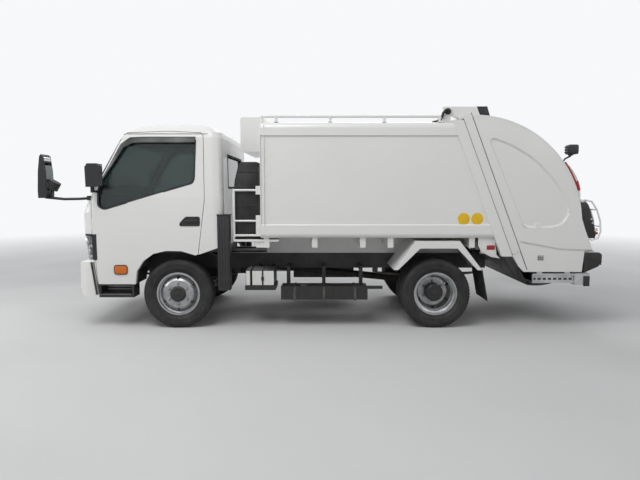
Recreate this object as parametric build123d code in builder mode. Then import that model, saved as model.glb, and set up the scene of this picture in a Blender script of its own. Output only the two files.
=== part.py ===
from build123d import *
import math
import os

os.makedirs("parts", exist_ok=True)

# Light rear-loading refuse truck, millimetres. X forward, Y left, Z up.
# Lengths along X are measured from the point midway between the front bumper and the rear buffers.
# Each finished piece is then moved so that the origin is under the middle of the whole truck.

# Overall places
CAB_HALF = 995.0
BODY_HALF = 1000.0
FRONT_AXLE = 1745.0
REAR_AXLE = -1055.0
SEAT_GAP = 0.3

# Cab
CAB_BACK = 1245.0
CAB_LENGTH = 1561.0
CAB_WALL = 55.0
CAB_TOP = 2227.0
CAB_FRONT = CAB_BACK + CAB_LENGTH
BUMPER_OUT = 39.0
BUMPER_FRONT = CAB_FRONT + BUMPER_OUT
MIRROR_OUT = 305.0
MIRROR_FRONT = BUMPER_FRONT + MIRROR_OUT
GLASS_IN = 22.0
GLASS_T = 6.0
DOOR_GAP = 6.0
BUMPER_TOP = 728.0
FLOOR_TOP = 880.0
FLOOR_T = 50.0
COVER_HALF = 330.0
COVER_TOP = 1050.0

# Tyres and rims, 205/75R17.5 on a 17.5 x 6.0 rim
TYRE_R = 376.0
TYRE_HALF = 102.5
TYRE_FACE = 985.0
TWIN_PITCH = 235.0
TREAD_HALF = 82.0
SHOULDER_R = 358.0
SHOULDER_HALF = 96.0
BULGE_R = 300.0
TYRE_WALL = 14.0
FLANGE_R = 235.0
FLANGE_HALF = 84.0
BEAD_R = 222.25
BEAD_HALF = 77.2
WELL_R = 204.0
WELL_HALF = 36.0
RIM_WALL = 6.0
DISC_T = 10.0
HAND_HOLE_R = 17.0
HAND_HOLE_PCR = 172.0
HAND_HOLES = 6
FRONT_DISC = 90.0
FRONT_HUB_R = 83.5
FRONT_HUB_OUT = 112.0
REAR_HUB_R = 92.0
REAR_HUB_OUT = 905.0
DRUM_R = 165.0
DRUM_WALL = 14.0
WHEEL_Y = TYRE_FACE - TYRE_HALF
TWIN_Y = WHEEL_Y - TWIN_PITCH
TWIN_MID = WHEEL_Y - TWIN_PITCH / 2

# Axles and steering
KINGPIN_Y = 730.0
KINGPIN_R = 20.0
SPINDLE_R = 32.0
FIT = 0.05
BEAM_W = 90.0
AXLE_TUBE_R = 60.0
BANJO_R = 165.0
REAR_SPINDLE_R = 42.0

# Chassis rails
RAIL_OUT = 380.0
RAIL_W = 70.0
RAIL_BOTTOM = 580.0
RAIL_TOP = 760.0
RAIL_T = 7.0
RAIL_FRONT = CAB_FRONT - 266.0
RAIL_REAR = -1760.0
SPRING_Y = 345.0
SPRING_HALF = 35.0

# Towing plate and number plate holes
TOW_X = RAIL_FRONT + 15.0
TOW_Z = 604.0
TOW_R = 20.0
TOW_HALF = 12.0
PLATE_PITCH = 210.0
PLATE_HOLE_R = 3.25
PLATE_Z = 540.0

# Door hinge pins, upright in the gap ahead of each door
DOOR_AXIS_X = CAB_FRONT - 153.0
DOOR_AXIS_Y = CAB_HALF - 5.0
DOOR_PIN_R = 4.6
DOOR_PIN_Z = (1070.0, 1200.0)

# Cab tilt pin
TILT_X = CAB_FRONT - 206.0
TILT_Z = 480.0
TILT_R = 16.0

# Container
BOX_FRONT = 842.0
BOX_TOP = 2220.0
BOX_BOTTOM = 985.0
BOX_WALL = 45.0
PANEL_HALF = 986.0
UPPER_BAND = BOX_TOP - 141.0
LOWER_BAND = BOX_BOTTOM + 137.0
# Parting plane between container and tailgate: top and bottom points at the side
PART_TOP = (-1296.0, BOX_TOP + 48.0)
PART_BOTTOM = (-1866.0, 790.0)
POST_W = 115.0
SUB_TOP = 985.0

# Tailgate
HINGE_X = -1175.0
HINGE_Z = BOX_TOP + 125.0
HINGE_PIN_R = 18.0
TAIL_HALF = 990.0
TAIL_WALL = 40.0
ARC_X = -1430.0
ARC_Z = 1115.0
TAIL_RISE = 72.0
TAIL_TOP = BOX_TOP + TAIL_RISE
ARC_R = TAIL_TOP - ARC_Z
BACK_T = 25.0
BUFFER_REAR = -2845.0
COVER_GAP = 10.0
COVER_T = 20.0
COVER_R = ARC_R - BACK_T - COVER_GAP
BACK_X = ARC_X - ARC_R
LIP_OUT = 38.0
RUNNER_GAP = 0.4
PACKER_X = -2140.0
PACKER_Z = 1120.0
TROUGH_R = 655.0
TROUGH_T = 12.0
BLADE_R = 618.0
BLADE_PIN_R = 30.0
RAM_Y = 938.0
RAM_R = 27.0
ROD_R = 14.0
RAM_OFFSET = 66.0
RAM_TOP_S = 130.0
RAM_BOTTOM_S = 900.0

PART_LEN = math.hypot(PART_BOTTOM[0] - PART_TOP[0], PART_BOTTOM[1] - PART_TOP[1])
PART_DX = (PART_BOTTOM[0] - PART_TOP[0]) / PART_LEN
PART_DZ = (PART_BOTTOM[1] - PART_TOP[1]) / PART_LEN


def on_parting(along, behind=0.0):
    """Point at a distance down the parting line and behind it, as (x, z)."""
    return (
        PART_TOP[0] + PART_DX * along + PART_DZ * behind,
        PART_TOP[1] + PART_DZ * along - PART_DX * behind,
    )


def parting_at(z, behind=0.0):
    """Point of the parting line, moved rearward by behind, at height z."""
    x0, z0 = on_parting(0, behind)
    return (x0 + PART_DX * (z - z0) / PART_DZ, z)


def slab(x, y, z, mode=Mode.ADD):
    """Rectangular block between two limits on each axis."""
    with Locations(((x[0] + x[1]) / 2, (y[0] + y[1]) / 2, (z[0] + z[1]) / 2)):
        Box(abs(x[1] - x[0]), abs(y[1] - y[0]), abs(z[1] - z[0]), mode=mode)


def side_plate(points, y, mode=Mode.ADD):
    """Flat piece with an outline in X and Z, from y[0] to y[1]."""
    with BuildSketch(Plane.XZ.offset(-max(y))) as face:
        with BuildLine():
            Polyline(*points, close=True)
        make_face()
    extrude(face.sketch, amount=abs(y[1] - y[0]), mode=mode)


def front_plate(points, x, mode=Mode.ADD):
    """Flat piece with an outline in Y and Z, from x[0] to x[1]."""
    with BuildSketch(Plane.YZ.offset(min(x))) as face:
        with BuildLine():
            Polyline(*points, close=True)
        make_face()
    extrude(face.sketch, amount=abs(x[1] - x[0]), mode=mode)


def rod(start, end, radius, mode=Mode.ADD):
    """Round bar between two points."""
    line = Vector(*end) - Vector(*start)
    with BuildSketch(Plane(origin=start, z_dir=line)) as face:
        Circle(radius)
    extrude(face.sketch, amount=line.length, mode=mode)


def rod_y(x, z, y, radius, mode=Mode.ADD):
    """Round bar along Y from y[0] to y[1]."""
    rod((x, min(y), z), (x, max(y), z), radius, mode)


def turned(x, y, profile, mode=Mode.ADD):
    """Ring about a wheel axis. Profile points are (radius, distance outward from y)."""
    with BuildSketch(Plane(origin=(x, y, TYRE_R), x_dir=(1, 0, 0), z_dir=(0, 0, 1))) as face:
        with BuildLine():
            Polyline(*profile, close=True)
        make_face()
    revolve(face.sketch, axis=Axis((x, y, TYRE_R), (0, 1, 0)), mode=mode)


MIDDLE_X = (MIRROR_FRONT + BUFFER_REAR) / 2


def save(piece, label):
    """Name a finished piece, move it into the truck's frame and write its file."""
    placed = piece.part.moved(Location((-MIDDLE_X, 0, 0)))
    placed.label = label
    export_step(placed, "parts/" + label + ".step")


def save_pair(piece, label):
    """Write a piece made for the left side and its mirror image for the right."""
    save(piece, label + "_left")
    with BuildPart() as right:
        mirror(piece.part, about=Plane.XZ)
    save(right, label + "_right")


# Tyres
def tyre_ring(x, y):
    """One hollow tyre, open toward its rim."""
    bead = BEAD_R + SEAT_GAP
    side = BEAD_HALF - SEAT_GAP
    plane = Plane(origin=(x, y, TYRE_R), x_dir=(1, 0, 0), z_dir=(0, 0, 1))
    with BuildSketch(plane) as face:
        for wall in (0.0, TYRE_WALL):
            top = TYRE_R - 1.4 * wall
            low = bead if wall == 0 else BEAD_R - RIM_WALL
            with BuildLine() as edge:
                Line((low, side - 1.2 * wall), (FLANGE_R + 2, side - wall))
                Line((low, -side + 1.2 * wall), (FLANGE_R + 2, -side + wall))
                for way in (1, -1):
                    ThreePointArc(
                        (FLANGE_R + 2, way * (side - wall)),
                        (BULGE_R, way * (TYRE_HALF - wall)),
                        (SHOULDER_R - wall, way * (SHOULDER_HALF - wall)),
                    )
                    Line((SHOULDER_R - wall, way * (SHOULDER_HALF - wall)), (top, way * (TREAD_HALF - wall)))
                Line((top, TREAD_HALF - wall), (top, -TREAD_HALF + wall))
                Line((low, side - 1.2 * wall), (low, -side + 1.2 * wall))
            make_face(edge.edges(), mode=Mode.ADD if wall == 0 else Mode.SUBTRACT)
    revolve(face.sketch, axis=Axis((x, y, TYRE_R), (0, 1, 0)))


with BuildPart() as tyre_front:
    tyre_ring(FRONT_AXLE, WHEEL_Y)
save_pair(tyre_front, "tyre_front")

with BuildPart() as tyre_rear:
    for ring_y in (WHEEL_Y, TWIN_Y):
        tyre_ring(REAR_AXLE, ring_y)
save_pair(tyre_rear, "tyre_rear")


# Rims with their hubs and brake drums
def rim_ring(x, y):
    """Well-base rim barrel."""
    inner = WELL_R - RIM_WALL
    shelf = BEAD_R - RIM_WALL
    turned(x, y, [
        (FLANGE_R, FLANGE_HALF), (FLANGE_R, BEAD_HALF), (BEAD_R, BEAD_HALF), (BEAD_R, WELL_HALF + 10),
        (WELL_R, WELL_HALF), (WELL_R, -WELL_HALF), (BEAD_R, -WELL_HALF - 10), (BEAD_R, -BEAD_HALF),
        (FLANGE_R, -BEAD_HALF), (FLANGE_R, -FLANGE_HALF), (shelf, -FLANGE_HALF), (shelf, -WELL_HALF - 14),
        (inner, -WELL_HALF - 4), (inner, WELL_HALF + 4), (shelf, WELL_HALF + 14), (shelf, FLANGE_HALF),
    ])


def hand_holes(x, y):
    """Ring of round holes through a disc."""
    for index in range(HAND_HOLES):
        turn = math.radians(360 / HAND_HOLES * (index + 0.5))
        at_x = x + HAND_HOLE_PCR * math.cos(turn)
        at_z = TYRE_R + HAND_HOLE_PCR * math.sin(turn)
        rod_y(at_x, at_z, y, HAND_HOLE_R, Mode.SUBTRACT)


with BuildPart() as rim_front:
    rim_ring(FRONT_AXLE, WHEEL_Y)
    turned(FRONT_AXLE, WHEEL_Y, [
        (WELL_R - 4, 14), (WELL_R - 4, 28), (168, FRONT_DISC - 12), (150, FRONT_DISC), (50, FRONT_DISC),
        (50, FRONT_DISC - DISC_T), (145, FRONT_DISC - DISC_T), (160, FRONT_DISC - 20), (188, 14),
    ])
    hand_holes(FRONT_AXLE, (WHEEL_Y + 10, WHEEL_Y + 100))
    turned(FRONT_AXLE, WHEEL_Y, [
        (0, FRONT_HUB_OUT), (FRONT_HUB_R - 14, FRONT_HUB_OUT), (FRONT_HUB_R, FRONT_HUB_OUT - 12),
        (FRONT_HUB_R, FRONT_DISC - DISC_T), (125, FRONT_DISC - DISC_T), (125, FRONT_DISC - DISC_T - 14),
        (62, FRONT_DISC - DISC_T - 14), (62, -40), (SPINDLE_R + FIT, -40), (SPINDLE_R + FIT, 92), (0, 92),
    ])
    turned(FRONT_AXLE, WHEEL_Y, [
        (DRUM_R, -62), (DRUM_R, 34), (110, 56), (60, 56), (60, 44), (105, 44), (DRUM_R - DRUM_WALL, 26),
        (DRUM_R - DRUM_WALL, -62),
    ])
save_pair(rim_front, "rim_front")

DISH = TWIN_PITCH / 2
with BuildPart() as rim_rear:
    for ring_y, way in ((WHEEL_Y, -1), (TWIN_Y, 1)):
        rim_ring(REAR_AXLE, ring_y)
        turned(REAR_AXLE, ring_y, [
            (WELL_R - 4, way * 20), (WELL_R - 4, way * 34), (168, way * DISH), (60, way * DISH),
            (60, way * (DISH - DISC_T)), (160, way * (DISH - DISC_T)), (188, way * 20),
        ])
    hand_holes(REAR_AXLE, (TWIN_Y + 20, WHEEL_Y - 20))
    hub_out = REAR_HUB_OUT - TWIN_MID
    turned(REAR_AXLE, TWIN_MID, [
        (0, hub_out), (REAR_HUB_R - 16, hub_out), (REAR_HUB_R, hub_out - 12), (REAR_HUB_R, -11),
        (130, -11), (130, -28), (80, -28), (80, -180), (REAR_SPINDLE_R + FIT, -180),
        (REAR_SPINDLE_R + FIT, 100), (0, 100),
    ])
    turned(REAR_AXLE, TWIN_MID, [
        (DRUM_R, -190), (DRUM_R, -40), (120, -26), (78, -26), (78, -40), (116, -40),
        (DRUM_R - DRUM_WALL, -54), (DRUM_R - DRUM_WALL, -190),
    ])
save_pair(rim_rear, "rim_rear")

# Steering knuckles with stub axle, kingpin fork, brake plate and steering arm
with BuildPart() as knuckle:
    slab((FRONT_AXLE - 45, FRONT_AXLE + 45), (KINGPIN_Y + 52, KINGPIN_Y + 72), (TYRE_R - 95, TYRE_R + 95))
    for low, high in ((-95, -53), (53, 95)):
        fork_y = (KINGPIN_Y - 36, KINGPIN_Y + 54)
        slab((FRONT_AXLE - 38, FRONT_AXLE + 38), fork_y, (TYRE_R + low, TYRE_R + high))
    pin_low = (FRONT_AXLE, KINGPIN_Y, TYRE_R - 100)
    pin_high = (FRONT_AXLE, KINGPIN_Y, TYRE_R + 100)
    rod(pin_low, pin_high, KINGPIN_R + FIT, Mode.SUBTRACT)
    rod_y(FRONT_AXLE, TYRE_R, (KINGPIN_Y + 60, WHEEL_Y + 85), SPINDLE_R)
    turned(FRONT_AXLE, KINGPIN_Y + 60, [
        (SPINDLE_R - 2, 0), (148, 0), (148, 6), (SPINDLE_R - 2, 6),
    ])
    slab((FRONT_AXLE - 190, FRONT_AXLE - 30), (KINGPIN_Y - 30, KINGPIN_Y + 10), (TYRE_R - 90, TYRE_R - 66))
save_pair(knuckle, "knuckle")

# Front axle beam with kingpins and track rod
with BuildPart() as front_axle:
    beam = [
        (0, 290), (400, 290), (560, TYRE_R - 45), (KINGPIN_Y + 24, TYRE_R - 45),
        (KINGPIN_Y + 24, TYRE_R + 45), (560, TYRE_R + 45), (400, 400), (0, 400),
    ]
    front_plate(beam, (FRONT_AXLE - BEAM_W / 2, FRONT_AXLE + BEAM_W / 2))
    rod((FRONT_AXLE, KINGPIN_Y, TYRE_R - 94), (FRONT_AXLE, KINGPIN_Y, TYRE_R + 94), KINGPIN_R)
    slab((FRONT_AXLE - 60, FRONT_AXLE + 60), (SPRING_Y - 45, SPRING_Y + 45), (395, 421))
    mirror(about=Plane.XZ)
save(front_axle, "front_axle")

# Rear axle casing
with BuildPart() as rear_axle:
    with Locations((REAR_AXLE, 0, TYRE_R)):
        Sphere(BANJO_R)
    rod_y(REAR_AXLE, TYRE_R, (-TWIN_MID + 190, TWIN_MID - 190), AXLE_TUBE_R)
    rod_y(REAR_AXLE, TYRE_R, (-TWIN_MID - 95, TWIN_MID + 95), REAR_SPINDLE_R)
    for way in (1, -1):
        seat_y = (way * SPRING_Y - 45, way * SPRING_Y + 45)
        slab((REAR_AXLE - 60, REAR_AXLE + 60), seat_y, (TYRE_R, TYRE_R + 75))
    rod((REAR_AXLE, 0, TYRE_R), (REAR_AXLE + 260, 0, TYRE_R + 20), 60)
save(rear_axle, "rear_axle")

# Leaf springs: name, axle x, half length, seat height, pack thickness, eye height
SPRINGS = (
    (FRONT_AXLE, 560.0, 421.0, 44.0, 520.0),
    (REAR_AXLE, 600.0, TYRE_R + 75.0, 62.0, 528.0),
)
with BuildPart() as leaf_springs:
    for axle_x, half, seat, pack, eye in SPRINGS:
        for way in (1, -1):
            y_mid = way * SPRING_Y
            with BuildSketch(Plane.XZ.offset(-(y_mid + SPRING_HALF))) as leaf:
                with BuildLine():
                    ThreePointArc((axle_x - half, eye), (axle_x, seat + pack), (axle_x + half, eye))
                    Line((axle_x + half, eye), (axle_x + half, eye - 12))
                    Line((axle_x + half, eye - 12), (axle_x + 60, seat))
                    Line((axle_x + 60, seat), (axle_x - 60, seat))
                    Line((axle_x - 60, seat), (axle_x - half, eye - 12))
                    Line((axle_x - half, eye - 12), (axle_x - half, eye))
                make_face()
            extrude(leaf.sketch, amount=2 * SPRING_HALF)
save(leaf_springs, "leaf_springs")

# Chassis frame
with BuildPart() as frame:
    slab((RAIL_REAR, RAIL_FRONT), (RAIL_OUT - RAIL_W, RAIL_OUT), (RAIL_BOTTOM, RAIL_TOP))
    slab((RAIL_REAR - 1, RAIL_FRONT + 1), (RAIL_OUT - RAIL_W - 1, RAIL_OUT - RAIL_T),
         (RAIL_BOTTOM + RAIL_T, RAIL_TOP - RAIL_T), Mode.SUBTRACT)
    slab((RAIL_FRONT - 80, TILT_X + 20), (RAIL_OUT - 50, RAIL_OUT - 10), (TILT_Z - 40, RAIL_BOTTOM + 90))
    rod_y(TILT_X, TILT_Z, (RAIL_OUT - 50, RAIL_OUT + 50), TILT_R)
    for axle_x, half, seat, pack, eye in SPRINGS:
        for way in (-1, 1):
            at = axle_x + way * half
            slab((at - 30, at + 30), (SPRING_Y - 30, SPRING_Y + 30), (eye, RAIL_BOTTOM + 2))
    mirror(about=Plane.XZ)
    for cross_x in (RAIL_FRONT - 90.0, 780.0, 40.0, -560.0, -1400.0, -1720.0):
        slab((cross_x - 35, cross_x + 35), (-RAIL_OUT + 3, RAIL_OUT - 3), (RAIL_BOTTOM + 30, RAIL_TOP - 20))
    slab((RAIL_FRONT - 100, TOW_X + 40), (-45, 45), (TOW_Z - TOW_HALF, TOW_Z + TOW_HALF))
    rod((TOW_X, 0, TOW_Z - TOW_HALF - 1), (TOW_X, 0, TOW_Z + TOW_HALF + 1), TOW_R, Mode.SUBTRACT)
    slab((1330, 1400), (-600, -RAIL_OUT + 3), (700, 730))
    slab((1330, 1400), (RAIL_OUT - 3, 600), (700, 730))
    for way in (1, -1):
        slab((1330, 1400), (way * 600, way * 560), (700, FLOOR_TOP - FLOOR_T - SEAT_GAP))
save(frame, "frame")

# Engine and gearbox as plain blocks, with the shaft to the rear axle
with BuildPart() as driveline:
    slab((1290, 2100), (-270, 270), (480, 980))
    slab((840, 1300), (-150, 150), (480, 760))
    rod((842, 0, 560), (REAR_AXLE + 266, 0, TYRE_R + 20), 42)
    for way in (1, -1):
        slab((1500, 1600), (way * 260, way * (RAIL_OUT - RAIL_W - SEAT_GAP)), (600, 640))
save(driveline, "driveline")

# Cab form: level plan sections from the sill to the roof
# Columns: height, back moved in, front moved back, side moved in,
# front corner radius, back corner radius, bow of the front
CAB_SECTIONS = (
    (480.0, 0.0, 30.0, 6.0, 160.0, 100.0, 30.0),
    (735.0, 0.0, 30.0, 2.0, 160.0, 100.0, 30.0),
    (1080.0, 0.0, 0.0, 0.0, 150.0, 110.0, 30.0),
    (1260.0, 0.0, 0.0, 0.0, 150.0, 110.0, 30.0),
    (1420.0, 0.0, 82.0, 4.0, 110.0, 110.0, 28.0),
    (1513.0, 4.0, 138.0, 12.0, 70.0, 110.0, 24.0),
    (2060.0, 14.0, 460.0, 51.0, 60.0, 110.0, 12.0),
    (2120.0, 30.0, 500.0, 65.0, 60.0, 110.0, 12.0),
    (2170.0, 90.0, 580.0, 115.0, 90.0, 110.0, 12.0),
    (2210.0, 220.0, 720.0, 235.0, 110.0, 110.0, 12.0),
    (CAB_TOP, 380.0, 876.0, 395.0, 110.0, 110.0, 12.0),
)
# Lower edge of the cab's side: arch, sill and nose
CAB_SIDE = (
    (CAB_FRONT + 94, BUMPER_TOP + SEAT_GAP), (CAB_FRONT + 94, 2400), (1200, 2400), (1200, 876), (1314, 876),
    (1525, 803), (1545, 800), (1695, 846), (1859, 849), (1999, 817), (2110, 738), (2182, 628), (2199, 486),
    (CAB_FRONT - 202, 486), (CAB_FRONT - 166, BUMPER_TOP + SEAT_GAP),
)


def cab_section(z, back_in, front_in, side_in, nose_r, tail_r, bow, inset):
    """Plan section of the cab with rounded corners and a bowed front."""
    half = CAB_HALF - side_in - inset
    back = CAB_BACK + back_in + inset
    front = CAB_FRONT - front_in - inset
    nose = max(nose_r - inset, 20)
    tail = max(tail_r - inset, 20)
    corner = front - bow
    cut = 0.2929
    with BuildSketch(Plane.XY.offset(z)) as plan:
        with BuildLine():
            Polyline((back, 0), (back, half - tail))
            ThreePointArc((back, half - tail), (back + cut * tail, half - cut * tail), (back + tail, half))
            Line((back + tail, half), (corner - nose, half))
            ThreePointArc((corner - nose, half), (corner - cut * nose, half - cut * nose),
                          (corner, half - nose))
            ThreePointArc((corner, half - nose), (front, 0), (corner, nose - half))
            ThreePointArc((corner, nose - half), (corner - cut * nose, cut * nose - half),
                          (corner - nose, -half))
            Line((corner - nose, -half), (back + tail, -half))
            ThreePointArc((back + tail, -half), (back + cut * tail, cut * tail - half), (back, tail - half))
            Polyline((back, tail - half), (back, 0))
        make_face()
    return plan.sketch


def cab_block(inset):
    """Whole cab form, with every outer face moved in by inset."""
    rows = []
    for z, *sizes in CAB_SECTIONS:
        rows.append((z - inset if z > 2000 else z, *sizes))
    for low, high in zip(rows, rows[1:]):
        loft([cab_section(*low, inset), cab_section(*high, inset)], ruled=True)
    with BuildSketch(Plane.XZ.offset(-CAB_HALF)) as side:
        with BuildLine():
            Polyline(*CAB_SIDE, close=True)
        make_face()
        if inset:
            offset(amount=-inset, kind=Kind.INTERSECTION)
    extrude(side.sketch, amount=2 * CAB_HALF, mode=Mode.INTERSECT)


with BuildPart() as cab_outer:
    cab_block(0)
with BuildPart() as cab_inner:
    cab_block(CAB_WALL)
with BuildPart() as shell:
    add(cab_outer.part)
    add(cab_inner.part, mode=Mode.SUBTRACT)
    inner_y = (-CAB_HALF + CAB_WALL, CAB_HALF - CAB_WALL)
    slab((1200, CAB_FRONT - 166), inner_y, (400, FLOOR_TOP), Mode.SUBTRACT)
    slab((CAB_BACK + CAB_WALL, CAB_FRONT - 166), inner_y, (400, 940), Mode.SUBTRACT)
    slab((1200, CAB_BACK + CAB_WALL + 10), (-COVER_HALF, COVER_HALF), (400, COVER_TOP), Mode.SUBTRACT)


# Door outline and window opening at the side
DOOR = (
    (CAB_FRONT - 157, 1342), (CAB_FRONT - 157, 1420), (CAB_FRONT - 194, 1506), (CAB_FRONT - 462, 1990),
    (CAB_FRONT - 512, 2075), (2266, 2106), (1824, 2125), (1480, 2108),
    (1452, 2080), (1441, 1396), (1517, 812), (1545, 800), (1695, 846), (1859, 849), (1999, 817),
    (2110, 738), (2182, 628), (2199, 486), (CAB_FRONT - 207, 486), (CAB_FRONT - 159, 1053),
)
WINDOW = (
    (CAB_FRONT - 225, 1330), (CAB_FRONT - 232, 1513), (CAB_FRONT - 490, 1990), (CAB_FRONT - 593, 2050),
    (1527, 2050), (1543, 1619), (1563, 1573),
    (CAB_FRONT - 291, 1290),
)
WINDOW_R = 45.0
HANDLE_Z = (1118.0, 1215.0)
LAMP_Z = (BUMPER_TOP + 22.0, 1031.0)
LAMP_IN = 560.0


def zone(points, y, grow=0.0, mode=Mode.INTERSECT, round_r=0.0):
    """Extrude an X-Z outline across y, with rounded corners, moved outward by grow."""
    with BuildSketch(Plane.XZ.offset(-max(y))) as face:
        with BuildLine():
            Polyline(*points, close=True)
        make_face()
        if round_r:
            fillet(face.vertices(), round_r)
        if grow:
            offset(amount=grow, kind=Kind.INTERSECTION)
    extrude(face.sketch, amount=abs(y[1] - y[0]), mode=mode)


SIDE_BAND = (CAB_HALF - 140.0, CAB_HALF + 10.0)


def inner_space(inset, mode=Mode.SUBTRACT):
    """Space between the cab's side walls, along its whole length."""
    left = [(CAB_HALF - row[3] - inset, row[0]) for row in CAB_SECTIONS]
    right = [(-y, z) for y, z in reversed(left)]
    front_plate(left + right, (CAB_BACK - 50, BUMPER_FRONT + 50), mode)


# Doors
with BuildPart() as door_space:
    zone(DOOR, SIDE_BAND, 0, Mode.ADD)
    inner_space(CAB_WALL + 1)
with BuildPart() as door_gap:
    zone(DOOR, SIDE_BAND, DOOR_GAP, Mode.ADD)
    inner_space(CAB_WALL + 1 + DOOR_GAP)
    mirror(about=Plane.XZ)
with BuildPart() as door:
    add(shell.part)
    add(door_space.part, mode=Mode.INTERSECT)
    zone(WINDOW, SIDE_BAND, 0, Mode.SUBTRACT, WINDOW_R)
    slab((1493, 1705), (CAB_HALF - 30, CAB_HALF - 12), HANDLE_Z, Mode.SUBTRACT)
save_pair(door, "door")

# Glass layer of the cab, cut into the panes
with BuildPart() as glass_outer:
    cab_block(GLASS_IN)
with BuildPart() as glass_inner:
    cab_block(GLASS_IN + GLASS_T)
with BuildPart() as glass_layer:
    add(glass_outer.part)
    add(glass_inner.part, mode=Mode.SUBTRACT)
with BuildPart() as door_glass:
    add(glass_layer.part)
    zone(WINDOW, SIDE_BAND, 0, Mode.INTERSECT, WINDOW_R)
    inner_space(CAB_WALL)
save_pair(door_glass, "door_glass")


WINDSCREEN = ((-890, 1540), (890, 1540), (825, 2035), (-825, 2035))
REAR_WINDOW = ((-560, 1520), (560, 1520), (560, 1900), (-560, 1900))
with BuildPart() as windscreen:
    add(glass_layer.part)
    front_plate(WINDSCREEN, (CAB_FRONT - 656, CAB_FRONT + 94), Mode.INTERSECT)
with BuildPart() as rear_pane:
    add(glass_layer.part)
    front_plate(REAR_WINDOW, (1200, 1350), Mode.INTERSECT)
with BuildPart() as cab_glass:
    add(windscreen.part)
    add(rear_pane.part)
save(cab_glass, "cab_glass")

# Fixed cab panels: what the doors and the windows leave of the shell
with BuildPart() as fixed_shell:
    add(shell.part)
    add(door_gap.part, mode=Mode.SUBTRACT)
    front_plate(WINDSCREEN, (CAB_FRONT - 656, CAB_FRONT + 94), Mode.SUBTRACT)
    front_plate(REAR_WINDOW, (1200, 1350), Mode.SUBTRACT)
ROOF_SEAM = 2098.0
with BuildPart() as cab_roof:
    add(fixed_shell.part)
    slab((1000, 3000), (-1100, 1100), (ROOF_SEAM, 2400), Mode.INTERSECT)
save(cab_roof, "cab_roof")
with BuildPart() as cab_rear:
    add(fixed_shell.part)
    slab((1000, 1700), (-1100, 1100), (400, ROOF_SEAM), Mode.INTERSECT)
save(cab_rear, "cab_rear")
LAMP_BOX = ((CAB_FRONT - 206, CAB_FRONT + 94), (LAMP_IN, 1100), LAMP_Z)
GRILLE_HALF = 520.0
GRILLE_LOW = 862.0
GRILLE_PITCH = 38.0
GRILLE_SLOT = 26.0
GRILLE_SLOTS = 4
with BuildPart() as grille_slots:
    for index in range(GRILLE_SLOTS):
        low = GRILLE_LOW + index * GRILLE_PITCH
        slab((CAB_FRONT - 120, CAB_FRONT + 94), (-GRILLE_HALF, GRILLE_HALF), (low, low + GRILLE_SLOT))
    add(glass_outer.part, mode=Mode.SUBTRACT)
with BuildPart() as cab_front:
    add(fixed_shell.part)
    slab((2150, 3000), (-1100, 1100), (400, ROOF_SEAM), Mode.INTERSECT)
    for way in (1, -1):
        slab(LAMP_BOX[0], (way * LAMP_IN, way * 1100), LAMP_Z, Mode.SUBTRACT)
        pin_low, pin_high = [(DOOR_AXIS_X, way * DOOR_AXIS_Y, z) for z in DOOR_PIN_Z]
        rod(pin_low, pin_high, DOOR_PIN_R)
    add(grille_slots.part, mode=Mode.SUBTRACT)
save(cab_front, "cab_front")
with BuildPart() as headlamps:
    for way in (1, -1):
        slab(LAMP_BOX[0], (way * LAMP_IN, way * 1100), LAMP_Z)
    add(fixed_shell.part, mode=Mode.INTERSECT)
save(headlamps, "headlamps")

# Cab floor with the engine cover and the tilt brackets
FLOOR_HALF = 934.0
FLOOR_SIDE = (
    (CAB_BACK + 5, FLOOR_TOP - FLOOR_T), (2150, FLOOR_TOP - FLOOR_T), (2230, 790), (CAB_FRONT - 126, 790),
    (CAB_FRONT - 126, 835), (2250, 835), (2170, FLOOR_TOP), (CAB_BACK + 5, FLOOR_TOP),
)
with BuildPart() as cab_floor:
    side_plate(FLOOR_SIDE, (-FLOOR_HALF, FLOOR_HALF))
    for way in (1, -1):
        slab((CAB_FRONT - 216, CAB_FRONT - 106), (way * 800, way * 940), (780, 850), Mode.SUBTRACT)
    slab((CAB_BACK + 5, 2190), (-COVER_HALF, COVER_HALF), (FLOOR_TOP - FLOOR_T, COVER_TOP))
    under_z = (FLOOR_TOP - FLOOR_T - 60, COVER_TOP - 30)
    slab((CAB_BACK + 4, 2160), (-COVER_HALF + 30, COVER_HALF - 30), under_z, Mode.SUBTRACT)
    for way in (1, -1):
        y_in = way * (RAIL_OUT + 6)
        y_out = way * (RAIL_OUT + 36)
        tilt_low = TILT_Z - 40
        tilt_plate = [(TILT_X - 45, tilt_low), (TILT_X + 45, tilt_low), (TILT_X + 35, 792), (TILT_X - 60, 792)]
        side_plate(tilt_plate, (y_in, y_out))
        rod_y(TILT_X, TILT_Z, (y_in, y_out), TILT_R + FIT, Mode.SUBTRACT)
save(cab_floor, "cab_floor")

# Steps under the doors
with BuildPart() as cab_steps:
    slab((2218, CAB_FRONT - 209), (800, CAB_HALF - 10), (341, 480))
    slab((2240, CAB_FRONT - 231), (830, CAB_HALF + 10), (372, 470), Mode.SUBTRACT)
    slab((2240, CAB_FRONT - 209), (786, 802), (341, 790))
    mirror(about=Plane.XZ)
save(cab_steps, "cab_steps")


def ribbon(points, thick):
    """Closed outline of a bent sheet: a run of points and the same run moved thick to its right."""
    sides = []
    for (x0, z0), (x1, z1) in zip(points, points[1:]):
        run = math.hypot(x1 - x0, z1 - z0)
        sides.append(((z1 - z0) / run, -(x1 - x0) / run))
    moved = [(points[0][0] + thick * sides[0][0], points[0][1] + thick * sides[0][1])]
    for (x, z), (a, b), (c, d) in zip(points[1:-1], sides, sides[1:]):
        share = thick / (1 + a * c + b * d)
        moved.append((x + share * (a + c), z + share * (b + d)))
    moved.append((points[-1][0] + thick * sides[-1][0], points[-1][1] + thick * sides[-1][1]))
    return list(points) + moved[::-1]


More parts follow.
